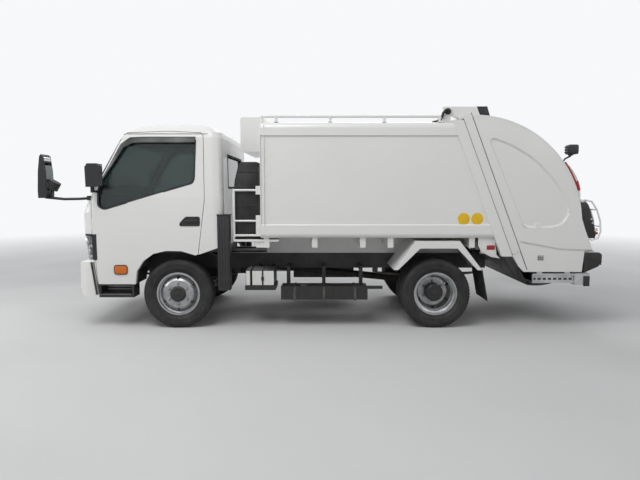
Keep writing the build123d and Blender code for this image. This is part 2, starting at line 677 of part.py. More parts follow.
# Wheel arch liners on the cab with the flaps behind the front wheels
LINER = (
    (2208, 486), (2194, 640), (2118, 782), (2044, FLOOR_TOP - FLOOR_T), (1400, FLOOR_TOP - FLOOR_T),
    (1300, 780), (1262, 690), (1262, 400),
)
with BuildPart() as arch_liners:
    side_plate(ribbon(LINER, -8), (600, 932))
    mirror(about=Plane.XZ)
save(arch_liners, "arch_liners")

# Front bumper
BUMPER_SIDE = (
    (BUMPER_FRONT - 239, 370), (BUMPER_FRONT - 205, 352), (BUMPER_FRONT - 71, 352), (BUMPER_FRONT - 20, 430),
    (BUMPER_FRONT, 555), (BUMPER_FRONT - 13, 690), (BUMPER_FRONT - 45, BUMPER_TOP),
    (BUMPER_FRONT - 189, BUMPER_TOP),
)
BUMPER_DEPTH = 345.0
BUMPER_WALL = 70.0
INTAKE_HALF = 430.0
INTAKE_LOWS = (436.0, 472.0, 508.0)
INTAKE_SLOT = 24.0
INTAKE_IN = 60.0
FOG_Y = 700.0
FOG_Z = 490.0
FOG_R = 48.0
FOG_IN = 45.0
with BuildPart() as bumper:
    side_plate(BUMPER_SIDE, (-CAB_HALF + 5, CAB_HALF - 5))
    with BuildSketch() as bumper_plan:
        with Locations((BUMPER_FRONT - BUMPER_DEPTH / 2, 0)):
            RectangleRounded(BUMPER_DEPTH, 2 * CAB_HALF - 10, 165)
    extrude(bumper_plan.sketch, amount=1000, mode=Mode.INTERSECT)
    inner_depth = BUMPER_DEPTH - BUMPER_WALL
    with BuildSketch() as bumper_inner:
        with Locations((BUMPER_FRONT - BUMPER_WALL - inner_depth / 2, 0)):
            RectangleRounded(inner_depth, 2 * CAB_HALF - 130, 110)
    extrude(bumper_inner.sketch, amount=BUMPER_TOP - 26, mode=Mode.SUBTRACT)
    for low in INTAKE_LOWS:
        slot_x = (BUMPER_FRONT - INTAKE_IN, BUMPER_FRONT + 5)
        slab(slot_x, (-INTAKE_HALF, INTAKE_HALF), (low, low + INTAKE_SLOT), Mode.SUBTRACT)
    for way in (1, -1):
        fog_back = (BUMPER_FRONT - FOG_IN, way * FOG_Y, FOG_Z)
        rod(fog_back, (BUMPER_FRONT + 5, way * FOG_Y, FOG_Z), FOG_R, Mode.SUBTRACT)
save(bumper, "bumper")

# Dashboard, steering column and wheel
WHEEL_HUB = (CAB_FRONT - 616.0, -470.0, 1330.0)
COLUMN_FOOT = (CAB_FRONT - 386.0, -470.0, 900.0)
with BuildPart() as dashboard:
    side_plate([(CAB_FRONT - 426, 1180), (CAB_FRONT - 191, 1100), (CAB_FRONT - 191, 1400), (CAB_FRONT - 246, 1440),
                (CAB_FRONT - 386, 1400)], (-905, 905))
    rod(COLUMN_FOOT, WHEEL_HUB, 32)
    axis = Vector(*WHEEL_HUB) - Vector(*COLUMN_FOOT)
    with BuildSketch(Plane(origin=WHEEL_HUB, z_dir=axis)) as spokes:
        Circle(60)
        Rectangle(400, 36)
    extrude(spokes.sketch, amount=14)
    across = axis.cross(Vector(0, 1, 0))
    with BuildSketch(Plane(origin=WHEEL_HUB, x_dir=(0, 1, 0), z_dir=across)) as rim_round:
        with Locations((205, 0)):
            Circle(15)
    revolve(rim_round.sketch, axis=Axis(WHEEL_HUB, axis))
    slab((CAB_FRONT - 406, CAB_FRONT - 336), (-500, -440), (FLOOR_TOP - 45, 1190))
save(dashboard, "dashboard")

# Seats
with BuildPart() as seats:
    for way in (1, -1):
        middle = way * 600.0
        slab((1480, 1960), (middle - 240, middle + 240), (FLOOR_TOP + 120, FLOOR_TOP + 250))
        slab((1560, 1880), (middle - 170, middle + 170), (FLOOR_TOP, FLOOR_TOP + 120))
        side_plate([(1500, FLOOR_TOP + 200), (1620, FLOOR_TOP + 200), (1500, 1720), (1400, 1720)],
                   (middle - 230, middle + 230))
save(seats, "seats")

# Mirrors on the doors
MIRROR_SIDE = 1115.0
MIRROR = (
    (CAB_FRONT - 306, 1534), (CAB_FRONT - 156, 1534), (CAB_FRONT - 151, 1740), (CAB_FRONT - 176, 1779),
    (CAB_FRONT - 276, 1779), (CAB_FRONT - 306, 1740),
)
with BuildPart() as mirror_arm:
    side_plate(MIRROR, (1045, MIRROR_SIDE))
    slab((CAB_FRONT - 226, CAB_FRONT - 194), (950, 1085), (1474, 1498))
    slab((CAB_FRONT - 226, CAB_FRONT - 194), (1058, 1085), (1474, 1545))
    add(cab_outer.part, mode=Mode.SUBTRACT)
save_pair(mirror_arm, "mirror")

# Mirror on a stay ahead of the cab's left corner, with the small round mirror under it
STAY_R = 14.0
STAY = (
    (CAB_FRONT - 150, 925, 1416), (CAB_FRONT - 40, 985, 1408), (CAB_FRONT + 110, 1025, 1406),
    (CAB_FRONT + 300, 1030, 1424),
)
MIRROR_HEAD = (
    (-84, 1418), (-2, 1418), (0, 1500), (-10, 1700), (-30, 1852), (-46, 1873), (-64, 1858), (-82, 1700),
    (-90, 1500),
)
with BuildPart() as front_mirror:
    for start, end in zip(STAY, STAY[1:]):
        rod(start, end, STAY_R)
        with Locations(end):
            Sphere(STAY_R)
    slab((CAB_FRONT - 146, CAB_FRONT - 106), (900, 972), (1392, 1440))
    side_plate([(MIRROR_FRONT + dx, z) for dx, z in MIRROR_HEAD], (935, MIRROR_SIDE))
    rod((MIRROR_FRONT - 90, 1030, 1420), (MIRROR_FRONT - 118, 1030, 1520), 9)
    rod((MIRROR_FRONT - 106, 1030, 1516), (MIRROR_FRONT - 150, 1030, 1590), 62)
    add(cab_outer.part, mode=Mode.SUBTRACT)
save(front_mirror, "front_mirror")

# Container: hollow body, rear posts, underframe and drain boxes
TOP_R = 70.0
BOX_END = -1900.0


def box_section(inset, length, start):
    """Outline across the container, drawn from start for a length toward the rear."""
    half = BODY_HALF - inset
    panel = PANEL_HALF - inset
    low = BOX_BOTTOM + inset
    top = BOX_TOP - inset
    with BuildSketch(Plane.YZ.offset(start - length)) as face:
        with BuildLine() as edge:
            for way in (1, -1):
                Line((0, low), (way * (half - 50), low))
                ThreePointArc((way * (half - 50), low), (way * (half - 15), low + 15), (way * half, low + 50))
                Line((way * half, low + 50), (way * half, LOWER_BAND))
                Line((way * half, LOWER_BAND), (way * panel, LOWER_BAND + 16))
                Line((way * panel, LOWER_BAND + 16), (way * panel, UPPER_BAND - 16))
                Line((way * panel, UPPER_BAND - 16), (way * half, UPPER_BAND))
                Line((way * half, UPPER_BAND), (way * half, top - TOP_R))
                ThreePointArc((way * half, top - TOP_R), (way * (half - 0.3 * TOP_R), top - 0.3 * TOP_R),
                              (way * (half - TOP_R), top))
                Line((way * (half - TOP_R), top), (0, top))
        make_face()
    extrude(face.sketch, amount=length)


with BuildPart() as box_inner:
    box_section(BOX_WALL, BOX_FRONT - BOX_WALL - BOX_END + 20, BOX_FRONT - BOX_WALL)
BEHIND = (
    on_parting(-400), on_parting(2200), (-3200, on_parting(2200)[1]), (-3200, on_parting(-400)[1]),
)
POST_TOP = BOX_TOP + 16.0
POST_SIDE = (
    parting_at(POST_TOP), parting_at(790), (parting_at(790)[0] + POST_W, 790),
    (parting_at(POST_TOP)[0] + POST_W, POST_TOP),
)
DRAIN = ((-1558, 806), (-1798, 806), (-1798, 653))
with BuildPart() as container:
    box_section(0, BOX_FRONT - BOX_END, BOX_FRONT)
    side_plate(POST_SIDE, (-BODY_HALF - 8, BODY_HALF + 8))
    side_plate([(-1500, 700), (-1900, 700), (-1900, 1020), (-1700, 1020)], (-940, 940), Mode.SUBTRACT)
    add(box_inner.part, mode=Mode.SUBTRACT)
    zone(BEHIND, (-1100, 1100), 0, Mode.SUBTRACT)
    for way in (1, -1):
        slab((BOX_FRONT - 10, -1500), (way * 310, way * 380), (RAIL_TOP, SUB_TOP + 5))
        for cross_x in (780.0, 260.0, -260.0, -560.0, -1440.0):
            slab((cross_x - 30, cross_x + 30), (way * 300, way * 960), (880, SUB_TOP + 5))
        side_plate(DRAIN, (way * 480, way * 880))
        slab((-1600, -1560), (way * 480, way * 520), (800, SUB_TOP + 5))
        slab((-1600, -1560), (way * 840, way * 880), (800, SUB_TOP + 5))
        slab((HINGE_X + 35, HINGE_X - 30), (way * 742, way * 762), (BOX_TOP - 5, HINGE_Z + 35))
        slab((HINGE_X + 35, HINGE_X - 30), (way * 838, way * 858), (BOX_TOP - 5, HINGE_Z + 35))
        rod_y(HINGE_X, HINGE_Z, (way * 742, way * 858), HINGE_PIN_R)
        ram_foot = on_parting(RAM_BOTTOM_S, RAM_OFFSET)
        lug_top = on_parting(RAM_BOTTOM_S - 30, -20)
        lug_low = on_parting(RAM_BOTTOM_S + 60, -20)
        lug_high = on_parting(RAM_BOTTOM_S - 20, RAM_OFFSET + 8)
        lug = [lug_top, lug_high, on_parting(RAM_BOTTOM_S + 28, RAM_OFFSET + 20), lug_low]
        side_plate(lug, (way * 906, way * 916))
        side_plate(lug, (way * 960, way * 970))
        rod_y(ram_foot[0], ram_foot[1], (way * 906, way * 970), 12)
save(container, "container")

# Water tank on the container's front wall
with BuildPart() as front_tank:
    slab((BOX_FRONT + SEAT_GAP, 1100), (-600, 600), (BOX_TOP - 287, BOX_TOP + 96))
    fillet(front_tank.edges().filter_by(Axis.Y).group_by(Axis.X)[-1], 30)
save(front_tank, "front_tank")

# Tube work: rails on the roof and the guard at the front left
RAIL_Y = 940.0
RAIL_TUBE_R = 15.0
RAIL_Z = BOX_TOP + 60.0
POSTS = (820.0, 670.0, 95.0, -480.0, -1070.0)
with BuildPart() as tube_rails:
    for way in (1, -1):
        rod((835, way * RAIL_Y, RAIL_Z), (-1081, way * RAIL_Y, RAIL_Z), RAIL_TUBE_R)
        for post_x in POSTS:
            rod((post_x, way * RAIL_Y, BOX_TOP + SEAT_GAP), (post_x, way * RAIL_Y, RAIL_Z), RAIL_TUBE_R - 1)
    guard_x = (BOX_FRONT + SEAT_GAP, BOX_FRONT + 52)
    guard_end = BOX_FRONT + 292
    slab(guard_x, (900, 960), (BOX_BOTTOM + 469, BOX_BOTTOM + 560))
    slab(guard_x, (900, 960), (BOX_BOTTOM + 22, BOX_BOTTOM + 245))
    rod((guard_end, 930, BOX_BOTTOM + 529), (guard_end, 930, BOX_BOTTOM + 6), 14)
    for up, radius in ((515, 12), (27, 12), (184, 11)):
        rod((BOX_FRONT + 8, 930, BOX_BOTTOM + up), (guard_end, 930, BOX_BOTTOM + up), radius)
save(tube_rails, "tube_rails")

# Pushing wall inside the container
with BuildPart() as ejector:
    slab((560, 580), (-925, 925), (BOX_BOTTOM + BOX_WALL + 10, BOX_TOP - 120))
    for way in (1, -1):
        side_plate([(565, BOX_BOTTOM + 55), (750, BOX_BOTTOM + 55), (565, BOX_TOP - 320)], (way * 700, way * 715))
        inner_floor = BOX_BOTTOM + BOX_WALL
        slab((500, 760), (way * 690, way * 760), (inner_floor + SEAT_GAP, inner_floor + 40))
save(ejector, "ejector")

# Rear mudguards and mud flaps
GUARD = ((-591, 643), (-826, 955), (-1301, 955), (-1547, 640))
GUARD_IN = ((-641, 643), (-876, 875), (-1277, 875), (-1498, 640))
GUARD_Y = (400.0, BODY_HALF)
with BuildPart() as rear_mudguards:
    side_plate(ribbon(GUARD, -6), GUARD_Y)
    side_plate(list(GUARD) + list(GUARD_IN)[::-1], (GUARD_Y[1] - 6, GUARD_Y[1]))
    slab((-1100, -1060), (RAIL_OUT + SEAT_GAP, 700), (900, 950))
    mirror(about=Plane.XZ)
save(rear_mudguards, "rear_mudguards")
with BuildPart() as mud_flaps:
    flap = [(-1536, 654.5), (-1547.3, 640), (-1612, 300), (-1620, 300), (-1556, 640), (-1544, 655)]
    side_plate(flap, (560, 985))
    mirror(about=Plane.XZ)
save(mud_flaps, "mud_flaps")

# Battery box and tanks along the rails
with BuildPart() as side_boxes:
    slab((700, 945), (610, 950), (462, 632))
    slab((960, 1010), (610, 950), (462, 632))
    slab((686, 1019), (600, 960), (416, 464))
    slab((740, 780), (RAIL_OUT + SEAT_GAP, 615), (590, 625))
    slab((900, 940), (RAIL_OUT + SEAT_GAP, 615), (590, 625))
    slab((-318, 630), (640, 940), (306, 440))
    slab((-480, 630), (900, 940), (425, 455))
    for arm_x in (-260.0, 160.0, 560.0):
        slab((arm_x - 20, arm_x + 20), (640, 700), (430, 640))
        slab((arm_x - 20, arm_x + 20), (RAIL_OUT + SEAT_GAP, 700), (600, 640))
    slab((-250, 560), (-940, -480), (330, 640))
    for arm_x in (-120.0, 430.0):
        slab((arm_x - 20, arm_x + 20), (-RAIL_OUT - SEAT_GAP, -490), (600, 640))
save(side_boxes, "side_boxes")

# Silencer and tail pipe on the right
with BuildPart() as exhaust:
    rod((600, -640, 500), (1060, -640, 500), 110)
    rod((1050, -640, 500), (1112, -640, 500), 30)
    rod((1090, -640, 500), (1090, -150 - SEAT_GAP, 500), 29)
    slab((860, 900), (-RAIL_OUT - SEAT_GAP, -560), (590, 640))
    slab((860, 900), (-600, -560), (560, 640))
save(exhaust, "exhaust")

# Tailgate shell

def arc_point(radius, degrees):
    """Point on the tailgate's back arc, measured up from level rearward."""
    turn = math.radians(degrees)
    return (ARC_X - radius * math.cos(turn), ARC_Z + radius * math.sin(turn))


FRONT_DEG = 96.0
LOW_DEG = 4.0
MOUTH_DEG = 27.0


def tail_outline(y):
    """Whole side outline of the tailgate, extruded across y."""
    with BuildSketch(Plane.XZ.offset(-max(y))) as face:
        with BuildLine():
            back = ThreePointArc(arc_point(ARC_R, FRONT_DEG), arc_point(ARC_R, 45), arc_point(ARC_R, LOW_DEG))
            Polyline(
                back @ 1, (BACK_X - LIP_OUT, 1075), (BACK_X - 121, 868), (BACK_X - LIP_OUT, 840),
                (BACK_X - 17, 621), (-1998, 621), (-1945, 677), parting_at(800, 8), parting_at(PART_TOP[1], 8), back @ 0,
            )
        make_face()
    extrude(face.sketch, amount=abs(y[1] - y[0]))


INSET_PANEL = (
    (-1560, 2086), (-1838, 1982), (-2052, 1854), (-2221, 1701), (-2356, 1539), (-2444, 1385), (-2478, 1271),
    (-2429, 1156), (-2324, 1099), (-1980, 1099),
)
PANEL_IN = 14.0
PANEL_R = 45.0
# Shadow groove between the side and the low box under it
LOW_GROOVE = (
    (-1952, 955), (-2376, 874), (BACK_X - 153, 860), (BACK_X - 153, 836), (-2376, 850), (-1966, 927),
)
with BuildPart() as tail_side:
    tail_outline((TAIL_HALF - TAIL_WALL, TAIL_HALF))
    side_plate([on_parting(-10, 8), on_parting(1560, 8), on_parting(1560, 98), on_parting(-10, 98)],
               (TAIL_HALF - TAIL_WALL, TAIL_HALF + 8))
    zone(INSET_PANEL, (TAIL_HALF - PANEL_IN, TAIL_HALF + 5), 0, Mode.SUBTRACT, PANEL_R)
    side_plate(LOW_GROOVE, (TAIL_HALF - PANEL_IN, TAIL_HALF + 5), Mode.SUBTRACT)
    slot = [on_parting(45, -20), on_parting(990, -20), on_parting(990, 112), on_parting(45, 112)]
    side_plate(slot, (TAIL_HALF - TAIL_WALL - 5, TAIL_HALF - 12), Mode.SUBTRACT)
    rod_y(PACKER_X, PACKER_Z, (TAIL_HALF - TAIL_WALL - 5, TAIL_HALF + 5), BLADE_PIN_R + FIT, Mode.SUBTRACT)
with BuildPart() as tail_shell:
    add(tail_side.part)
    mirror(tail_side.part, about=Plane.XZ)
    with BuildSketch(Plane.XZ.offset(-TAIL_HALF + TAIL_WALL - 5)) as back_band:
        with BuildLine():
            outer = ThreePointArc(arc_point(ARC_R, FRONT_DEG), arc_point(ARC_R, 50), arc_point(ARC_R, MOUTH_DEG))
            inner = ThreePointArc(arc_point(ARC_R - BACK_T, FRONT_DEG), arc_point(ARC_R - BACK_T, 50),
                                  arc_point(ARC_R - BACK_T, MOUTH_DEG))
            Line(outer @ 0, inner @ 0)
            Line(outer @ 1, inner @ 1)
        make_face()
    extrude(back_band.sketch, amount=2 * (TAIL_HALF - TAIL_WALL + 5))
    slab((ARC_X + 10, ARC_X + 108), (-880, 880), (TAIL_TOP - 54, TAIL_TOP - 22))
    for way in (1, -1):
        rail_edge = way * (TAIL_HALF - TAIL_WALL + 1)
        with BuildSketch(Plane.XZ.offset(-max(rail_edge, way * 905))) as runner:
            with BuildLine():
                high = COVER_R - COVER_T - RUNNER_GAP
                outer = ThreePointArc(arc_point(high, 68), arc_point(high, 30), arc_point(high, -8))
                inner = ThreePointArc(arc_point(high - 16, 68), arc_point(high - 16, 30), arc_point(high - 16, -8))
                Line(outer @ 0, inner @ 0)
                Line(outer @ 1, inner @ 1)
            make_face()
        extrude(runner.sketch, amount=abs(rail_edge) - 905)
    for way in (1, -1):
        side_plate([
            (HINGE_X - 42, HINGE_Z - 43), (HINGE_X + 45, HINGE_Z - 43), (HINGE_X + 45, HINGE_Z + 53),
            (HINGE_X - 425, HINGE_Z + 53), (HINGE_X - 465, TAIL_TOP - 22), (HINGE_X - 145, TAIL_TOP - 22),
        ], (way * 765, way * 835))
        rod_y(HINGE_X, HINGE_Z, (way * 765, way * 835), 48)
        rod_y(HINGE_X, HINGE_Z, (way * 760, way * 840), HINGE_PIN_R + FIT, Mode.SUBTRACT)
        eye = on_parting(RAM_TOP_S, RAM_OFFSET)
        side_plate([(eye[0] - 40, eye[1] - 30), (eye[0] + 40, eye[1] - 30), (eye[0] + 60, eye[1] + 110),
                    (eye[0] - 60, eye[1] + 110)], (way * 890, way * 900))
save(tail_shell, "tail_shell")

# Hopper trough
TROUGH_FRONT = parting_at(960, 14)
with BuildPart() as hopper_trough:
    turn_start = math.radians(-82)
    turn_end = math.radians(-157)
    with BuildSketch(Plane.XZ.offset(-TAIL_HALF + TAIL_WALL + SEAT_GAP)) as bowl:
        with BuildLine():
            ends = []
            for radius in (TROUGH_R, TROUGH_R - TROUGH_T):
                run = []
                for turn in (turn_start, (turn_start + turn_end) / 2, turn_end):
                    run.append((PACKER_X + radius * math.cos(turn), PACKER_Z + radius * math.sin(turn)))
                ThreePointArc(*run)
                ends.append(run)
            Polyline(ends[0][0], parting_at(790, 14), TROUGH_FRONT, (TROUGH_FRONT[0] - 12, TROUGH_FRONT[1]),
                     (parting_at(790, 14)[0] - 12, 796), ends[1][0])
            Line(ends[0][2], ends[1][2])
        make_face()
    extrude(bowl.sketch, amount=2 * (TAIL_HALF - TAIL_WALL - SEAT_GAP))
save(hopper_trough, "hopper_trough")

# Sweeping blade in the hopper
BLADE_HALF = 925.0
with BuildPart() as packer_blade:
    rod_y(PACKER_X, PACKER_Z, (-BLADE_HALF, BLADE_HALF), 70)
    slab((PACKER_X - 16, PACKER_X + 16), (-BLADE_HALF, BLADE_HALF), (PACKER_Z - BLADE_R, PACKER_Z - 40))
    rod_y(PACKER_X, PACKER_Z, (-TAIL_HALF + 6, TAIL_HALF - 6), BLADE_PIN_R)
save(packer_blade, "packer_blade")

# Sliding cover over the loading mouth
COVER_HALF_W = 944.0
with BuildPart() as hopper_cover:
    with BuildSketch(Plane.XZ.offset(-COVER_HALF_W)) as cover:
        with BuildLine():
            outer = ThreePointArc(arc_point(COVER_R, 29), arc_point(COVER_R, 12), arc_point(COVER_R, -8))
            inner = ThreePointArc(arc_point(COVER_R - COVER_T, 29), arc_point(COVER_R - COVER_T, 12),
                                  arc_point(COVER_R - COVER_T, -8))
            Line(outer @ 0, inner @ 0)
            Line(outer @ 1, inner @ 1)
        make_face()
    extrude(cover.sketch, amount=2 * COVER_HALF_W)
save(hopper_cover, "hopper_cover")

# Lower rear step and corner buffers
STEP_REAR = -2716.0
STEP_LOW = 479.0
STEP_TOP = 599.0
with BuildPart() as rear_step:
    for way in (1, -1):
        slab((-2560, -2095), (way * 952, way * 988), (STEP_LOW + 21, STEP_TOP))
        slab((-2500, -2440), (way * 954, way * 984), (595, 621 - SEAT_GAP))
        slab((-2200, -2140), (way * 954, way * 984), (595, 621 - SEAT_GAP))
        slab((-2550, -2105), (way * 966, way * 995), (STEP_LOW + 33, STEP_TOP - 12), Mode.SUBTRACT)
    slab((STEP_REAR, -2556), (-980, 980), (STEP_LOW, STEP_TOP))
    slab((STEP_REAR + 32, -2566), (-970, 970), (STEP_LOW - 5, STEP_TOP - 8), Mode.SUBTRACT)
    for way in (1, -1):
        hole_y = way * PLATE_PITCH / 2
        rod((STEP_REAR - 4, hole_y, PLATE_Z), (STEP_REAR + 26, hole_y, PLATE_Z), PLATE_HOLE_R, Mode.SUBTRACT)
save(rear_step, "rear_step")
with BuildPart() as corner_buffers:
    for way in (1, -1):
        slab((BUFFER_REAR, BACK_X - LIP_OUT - SEAT_GAP), (way * 760, way * (TAIL_HALF - 2)), (605, 829))
    inside_y = (-TAIL_HALF + TAIL_WALL, TAIL_HALF - TAIL_WALL)
    rod_y(PACKER_X, PACKER_Z, inside_y, TROUGH_R + SEAT_GAP, Mode.SUBTRACT)
    fillet(corner_buffers.edges().filter_by(Axis.Z).group_by(Axis.X)[0], 45)
save(corner_buffers, "corner_buffers")

# Rear lamps: upper corners and lower clusters
with BuildPart() as tail_lamps:
    for way in (1, -1):
        lamp_y = (way * (TAIL_HALF - 190), way * (TAIL_HALF - 5))
        side_plate([
            arc_point(ARC_R + SEAT_GAP + 2, 35), arc_point(ARC_R + 30, 34), arc_point(ARC_R + 38, 24.5),
            arc_point(ARC_R + 30, 15), arc_point(ARC_R + SEAT_GAP, 14), arc_point(ARC_R + SEAT_GAP + 16, 24.5),
        ], lamp_y)
        side_plate([
            arc_point(ARC_R + 1.5, 12.5), arc_point(ARC_R + 1.5, 8), arc_point(ARC_R + SEAT_GAP, 4),
            (BACK_X - LIP_OUT - SEAT_GAP, 1075), (BACK_X - 76.4, 980), (BACK_X - 183, 980), (BACK_X - 163, 1340),
        ], lamp_y)
save(tail_lamps, "tail_lamps")

# Tailgate rams
FOOT = on_parting(RAM_BOTTOM_S, RAM_OFFSET)
EYE = on_parting(RAM_TOP_S, RAM_OFFSET)
RAM_LENGTH = math.hypot(EYE[0] - FOOT[0], EYE[1] - FOOT[1])


def along_ram(distance):
    """Point on the ram's line, measured up from its foot pin."""
    share = distance / RAM_LENGTH
    return (FOOT[0] + (EYE[0] - FOOT[0]) * share, FOOT[1] + (EYE[1] - FOOT[1]) * share)


with BuildPart() as ram_barrels:
    for way in (1, -1):
        low = along_ram(26)
        high = along_ram(RAM_LENGTH - 110)
        rod((low[0], way * RAM_Y, low[1]), (high[0], way * RAM_Y, high[1]), RAM_R)
        rod_y(FOOT[0], FOOT[1], (way * (RAM_Y - 18), way * (RAM_Y + 18)), 28)
        rod_y(FOOT[0], FOOT[1], (way * (RAM_Y - 19), way * (RAM_Y + 19)), 12 + FIT, Mode.SUBTRACT)
        deep = along_ram(60)
        rod((deep[0], way * RAM_Y, deep[1]), (high[0], way * RAM_Y, high[1]), ROD_R + FIT, Mode.SUBTRACT)
save(ram_barrels, "ram_barrels")
with BuildPart() as ram_rods:
    for way in (1, -1):
        low = along_ram(80)
        high = along_ram(RAM_LENGTH - 20)
        rod((low[0], way * RAM_Y, low[1]), (high[0], way * RAM_Y, high[1]), ROD_R)
        rod_y(EYE[0], EYE[1], (way * (RAM_Y - 16), way * (RAM_Y + 16)), 26)
        rod_y(EYE[0], EYE[1], (way * 906, way * 970), 12)
save(ram_rods, "ram_rods")
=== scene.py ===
import math
import bmesh
import bpy
from bpy.props import FloatProperty, FloatVectorProperty, IntProperty, PointerProperty
from mathutils import Matrix, Vector


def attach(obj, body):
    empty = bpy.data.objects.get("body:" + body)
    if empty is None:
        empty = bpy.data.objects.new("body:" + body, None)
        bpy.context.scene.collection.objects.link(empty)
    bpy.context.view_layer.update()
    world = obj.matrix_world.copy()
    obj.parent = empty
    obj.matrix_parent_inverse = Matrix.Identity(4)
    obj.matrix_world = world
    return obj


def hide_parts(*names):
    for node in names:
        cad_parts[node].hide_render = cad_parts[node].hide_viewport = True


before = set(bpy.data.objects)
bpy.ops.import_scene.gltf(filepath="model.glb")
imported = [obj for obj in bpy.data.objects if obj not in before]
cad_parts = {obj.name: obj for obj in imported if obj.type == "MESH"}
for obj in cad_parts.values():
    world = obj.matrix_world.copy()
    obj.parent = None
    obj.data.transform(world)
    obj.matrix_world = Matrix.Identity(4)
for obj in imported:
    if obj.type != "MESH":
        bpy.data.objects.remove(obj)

bl_info = {
    "name": "Rear-loading refuse truck",
    "version": (1, 0, 0),
    "blender": (4, 5, 0),
    "location": "3D View > Sidebar > Refuse truck",
    "description": "Finishes and detail pieces for a light rear-loading refuse truck",
    "category": "Add Mesh",
}

MM = 0.001
AHEAD, OUTWARD, UP = (1, 0, 0), (0, 1, 0), (0, 0, 1)
# Distance from the truck's own measuring point to the frame's origin, in millimetres
DATUM_X = 152.5
# Lengths in millimetres and places from that point: X ahead, Y to the left, Z up
FRONT_AXLE = 1745
REAR_AXLE = -1055
TYRE_R = 376
WHEEL_Y = 882.5
TWIN_Y = 647.5
STUD_R = 111.1
STUDS = 6
CAB_BACK = 1245
CAB_FRONT = 2806
CAB_HALF = 995
BUMPER_FRONT = 2845
# Headlamps: bottom, top, inner edge and rear edge
LAMP_LOW, LAMP_HIGH, LAMP_IN, LAMP_BACK = 752, 1029, 562, CAB_FRONT - 204
LAMP_LEVELS = [LAMP_LOW + (LAMP_HIGH - LAMP_LOW) * part / 6 for part in range(7)]
TAIL_HALF = 990
# Centre and radius of the tailgate's back, then the top and the bottom of its parting line, in X and Z
ARC_X = -1430
ARC_Z = 1115
ARC_R = 1177
PART_TOP = (-1296, 2268)
PART_BOTTOM = (-1866, 790)
# Cab plan sections: height, back in, front in, side in, front corner radius, bow
CAB_ROWS = (
    (480, 0, 30, 6, 160, 30),
    (735, 0, 30, 2, 160, 30),
    (1080, 0, 0, 0, 150, 30),
    (1260, 0, 0, 0, 150, 30),
    (1420, 0, 82, 4, 110, 28),
    (1513, 4, 138, 12, 70, 24),
    (2060, 14, 460, 51, 60, 12),
    (2120, 30, 500, 65, 60, 12),
    (2170, 90, 580, 115, 90, 12),
    (2210, 220, 720, 235, 110, 12),
    (2227, 380, 876, 395, 110, 12),
)
# Outline of a door's window, in X and Z
WINDOW = (
    (2581, 1330), (2574, 1513), (2316, 1990), (2213, 2050), (1527, 2050), (1543, 1619), (1563, 1573),
    (2515, 1290),
)
# Outline of the sunk panel on the tailgate's side, in X and Z
INSET_PANEL = (
    (-1560, 2086), (-1838, 1982), (-2052, 1854), (-2221, 1701), (-2356, 1539), (-2444, 1385), (-2478, 1271),
    (-2429, 1156), (-2324, 1099), (-1980, 1099),
)


def at(x, y, z):
    """Point in the frame, in metres, from the truck's own millimetres."""
    return Vector(((x - DATUM_X) * MM, y * MM, z * MM))


def sizes():
    """Sizes and colours as they stand in the scene."""
    return bpy.context.scene.refuse_truck


# ---- Looks ----

class Tree:
    """Nodes of a material or a world, with short calls for the kinds used here."""

    def __init__(self, tree):
        self.nodes = tree.nodes
        self.links = tree.links

    def put(self, sockets, values):
        """Set each named socket to a plain value, or wire it to another node's output."""
        for name, value in values.items():
            if isinstance(value, bpy.types.NodeSocket):
                self.links.new(value, sockets[name])
            else:
                sockets[name].default_value = value

    def add(self, kind, out, values, **settings):
        """New node with its inputs filled in; gives the output asked for."""
        made = self.nodes.new("ShaderNode" + kind)
        for name, value in settings.items():
            setattr(made, name, value)
        self.put(made.inputs, values)
        return made.outputs[out]

    def spread(self, value, low, high, start=0.3, end=0.7):
        """Value between start and end mapped to a range."""
        return self.add("MapRange", "Result", {
            "Value": value, "From Min": start, "From Max": end, "To Min": low, "To Max": high})

    def join(self, operation, first, second):
        """Two values joined by the operation named."""
        return self.add("Math", "Value", {0: first, 1: second}, operation=operation)

    def seen_rays(self):
        """1 where the camera looks straight at a thing, in a reflection or through glass."""
        rays = self.nodes.new("ShaderNodeLightPath").outputs
        most = self.join("MAXIMUM", rays["Is Camera Ray"], rays["Is Glossy Ray"])
        return self.join("MAXIMUM", most, rays["Is Transmission Ray"])


class Look(Tree):
    """Finish in the making, on the object's own coordinates."""

    def __init__(self, name):
        self.made = bpy.data.materials.new(name)
        self.made.use_nodes = True
        super().__init__(self.made.node_tree)
        self.shader = self.nodes["Principled BSDF"]
        self.place = self.nodes.new("ShaderNodeTexCoord").outputs["Object"]

    def noise(self, scale, detail, stretch=None):
        """Noise, stretched along an axis where asked."""
        place = self.place
        if stretch:
            place = self.add("Mapping", "Vector", {"Vector": place, "Scale": stretch})
        return self.add("TexNoise", "Fac", {"Vector": place, "Scale": scale, "Detail": detail})

    def wave(self, axis, scale, bend=0):
        """Stripes across an axis."""
        values = {"Vector": self.place, "Scale": scale, "Distortion": bend}
        return self.add("TexWave", "Fac", values, bands_direction=axis)

    def blend(self, share, first, second):
        """Mix of two colours; the first may be another node's."""
        if not isinstance(first, bpy.types.NodeSocket):
            first = (*first, 1)
        return self.add("Mix", MIX_RESULT, {0: share, MIX_A: first, MIX_B: (*second, 1)}, data_type="RGBA")

    def shade(self, values):
        """Fill in the shader's own inputs."""
        self.put(self.shader.inputs, values)

    def relief(self, height, strength, deep=0.002):
        """Normals of a fine relief."""
        return self.add("Bump", "Normal", {"Height": height, "Strength": strength, "Distance": deep})


# Places of the colour sockets in a mix node, which has others of the same names
MIX_A, MIX_B, MIX_RESULT = 6, 7, 2
DUST = (0.33, 0.30, 0.25)


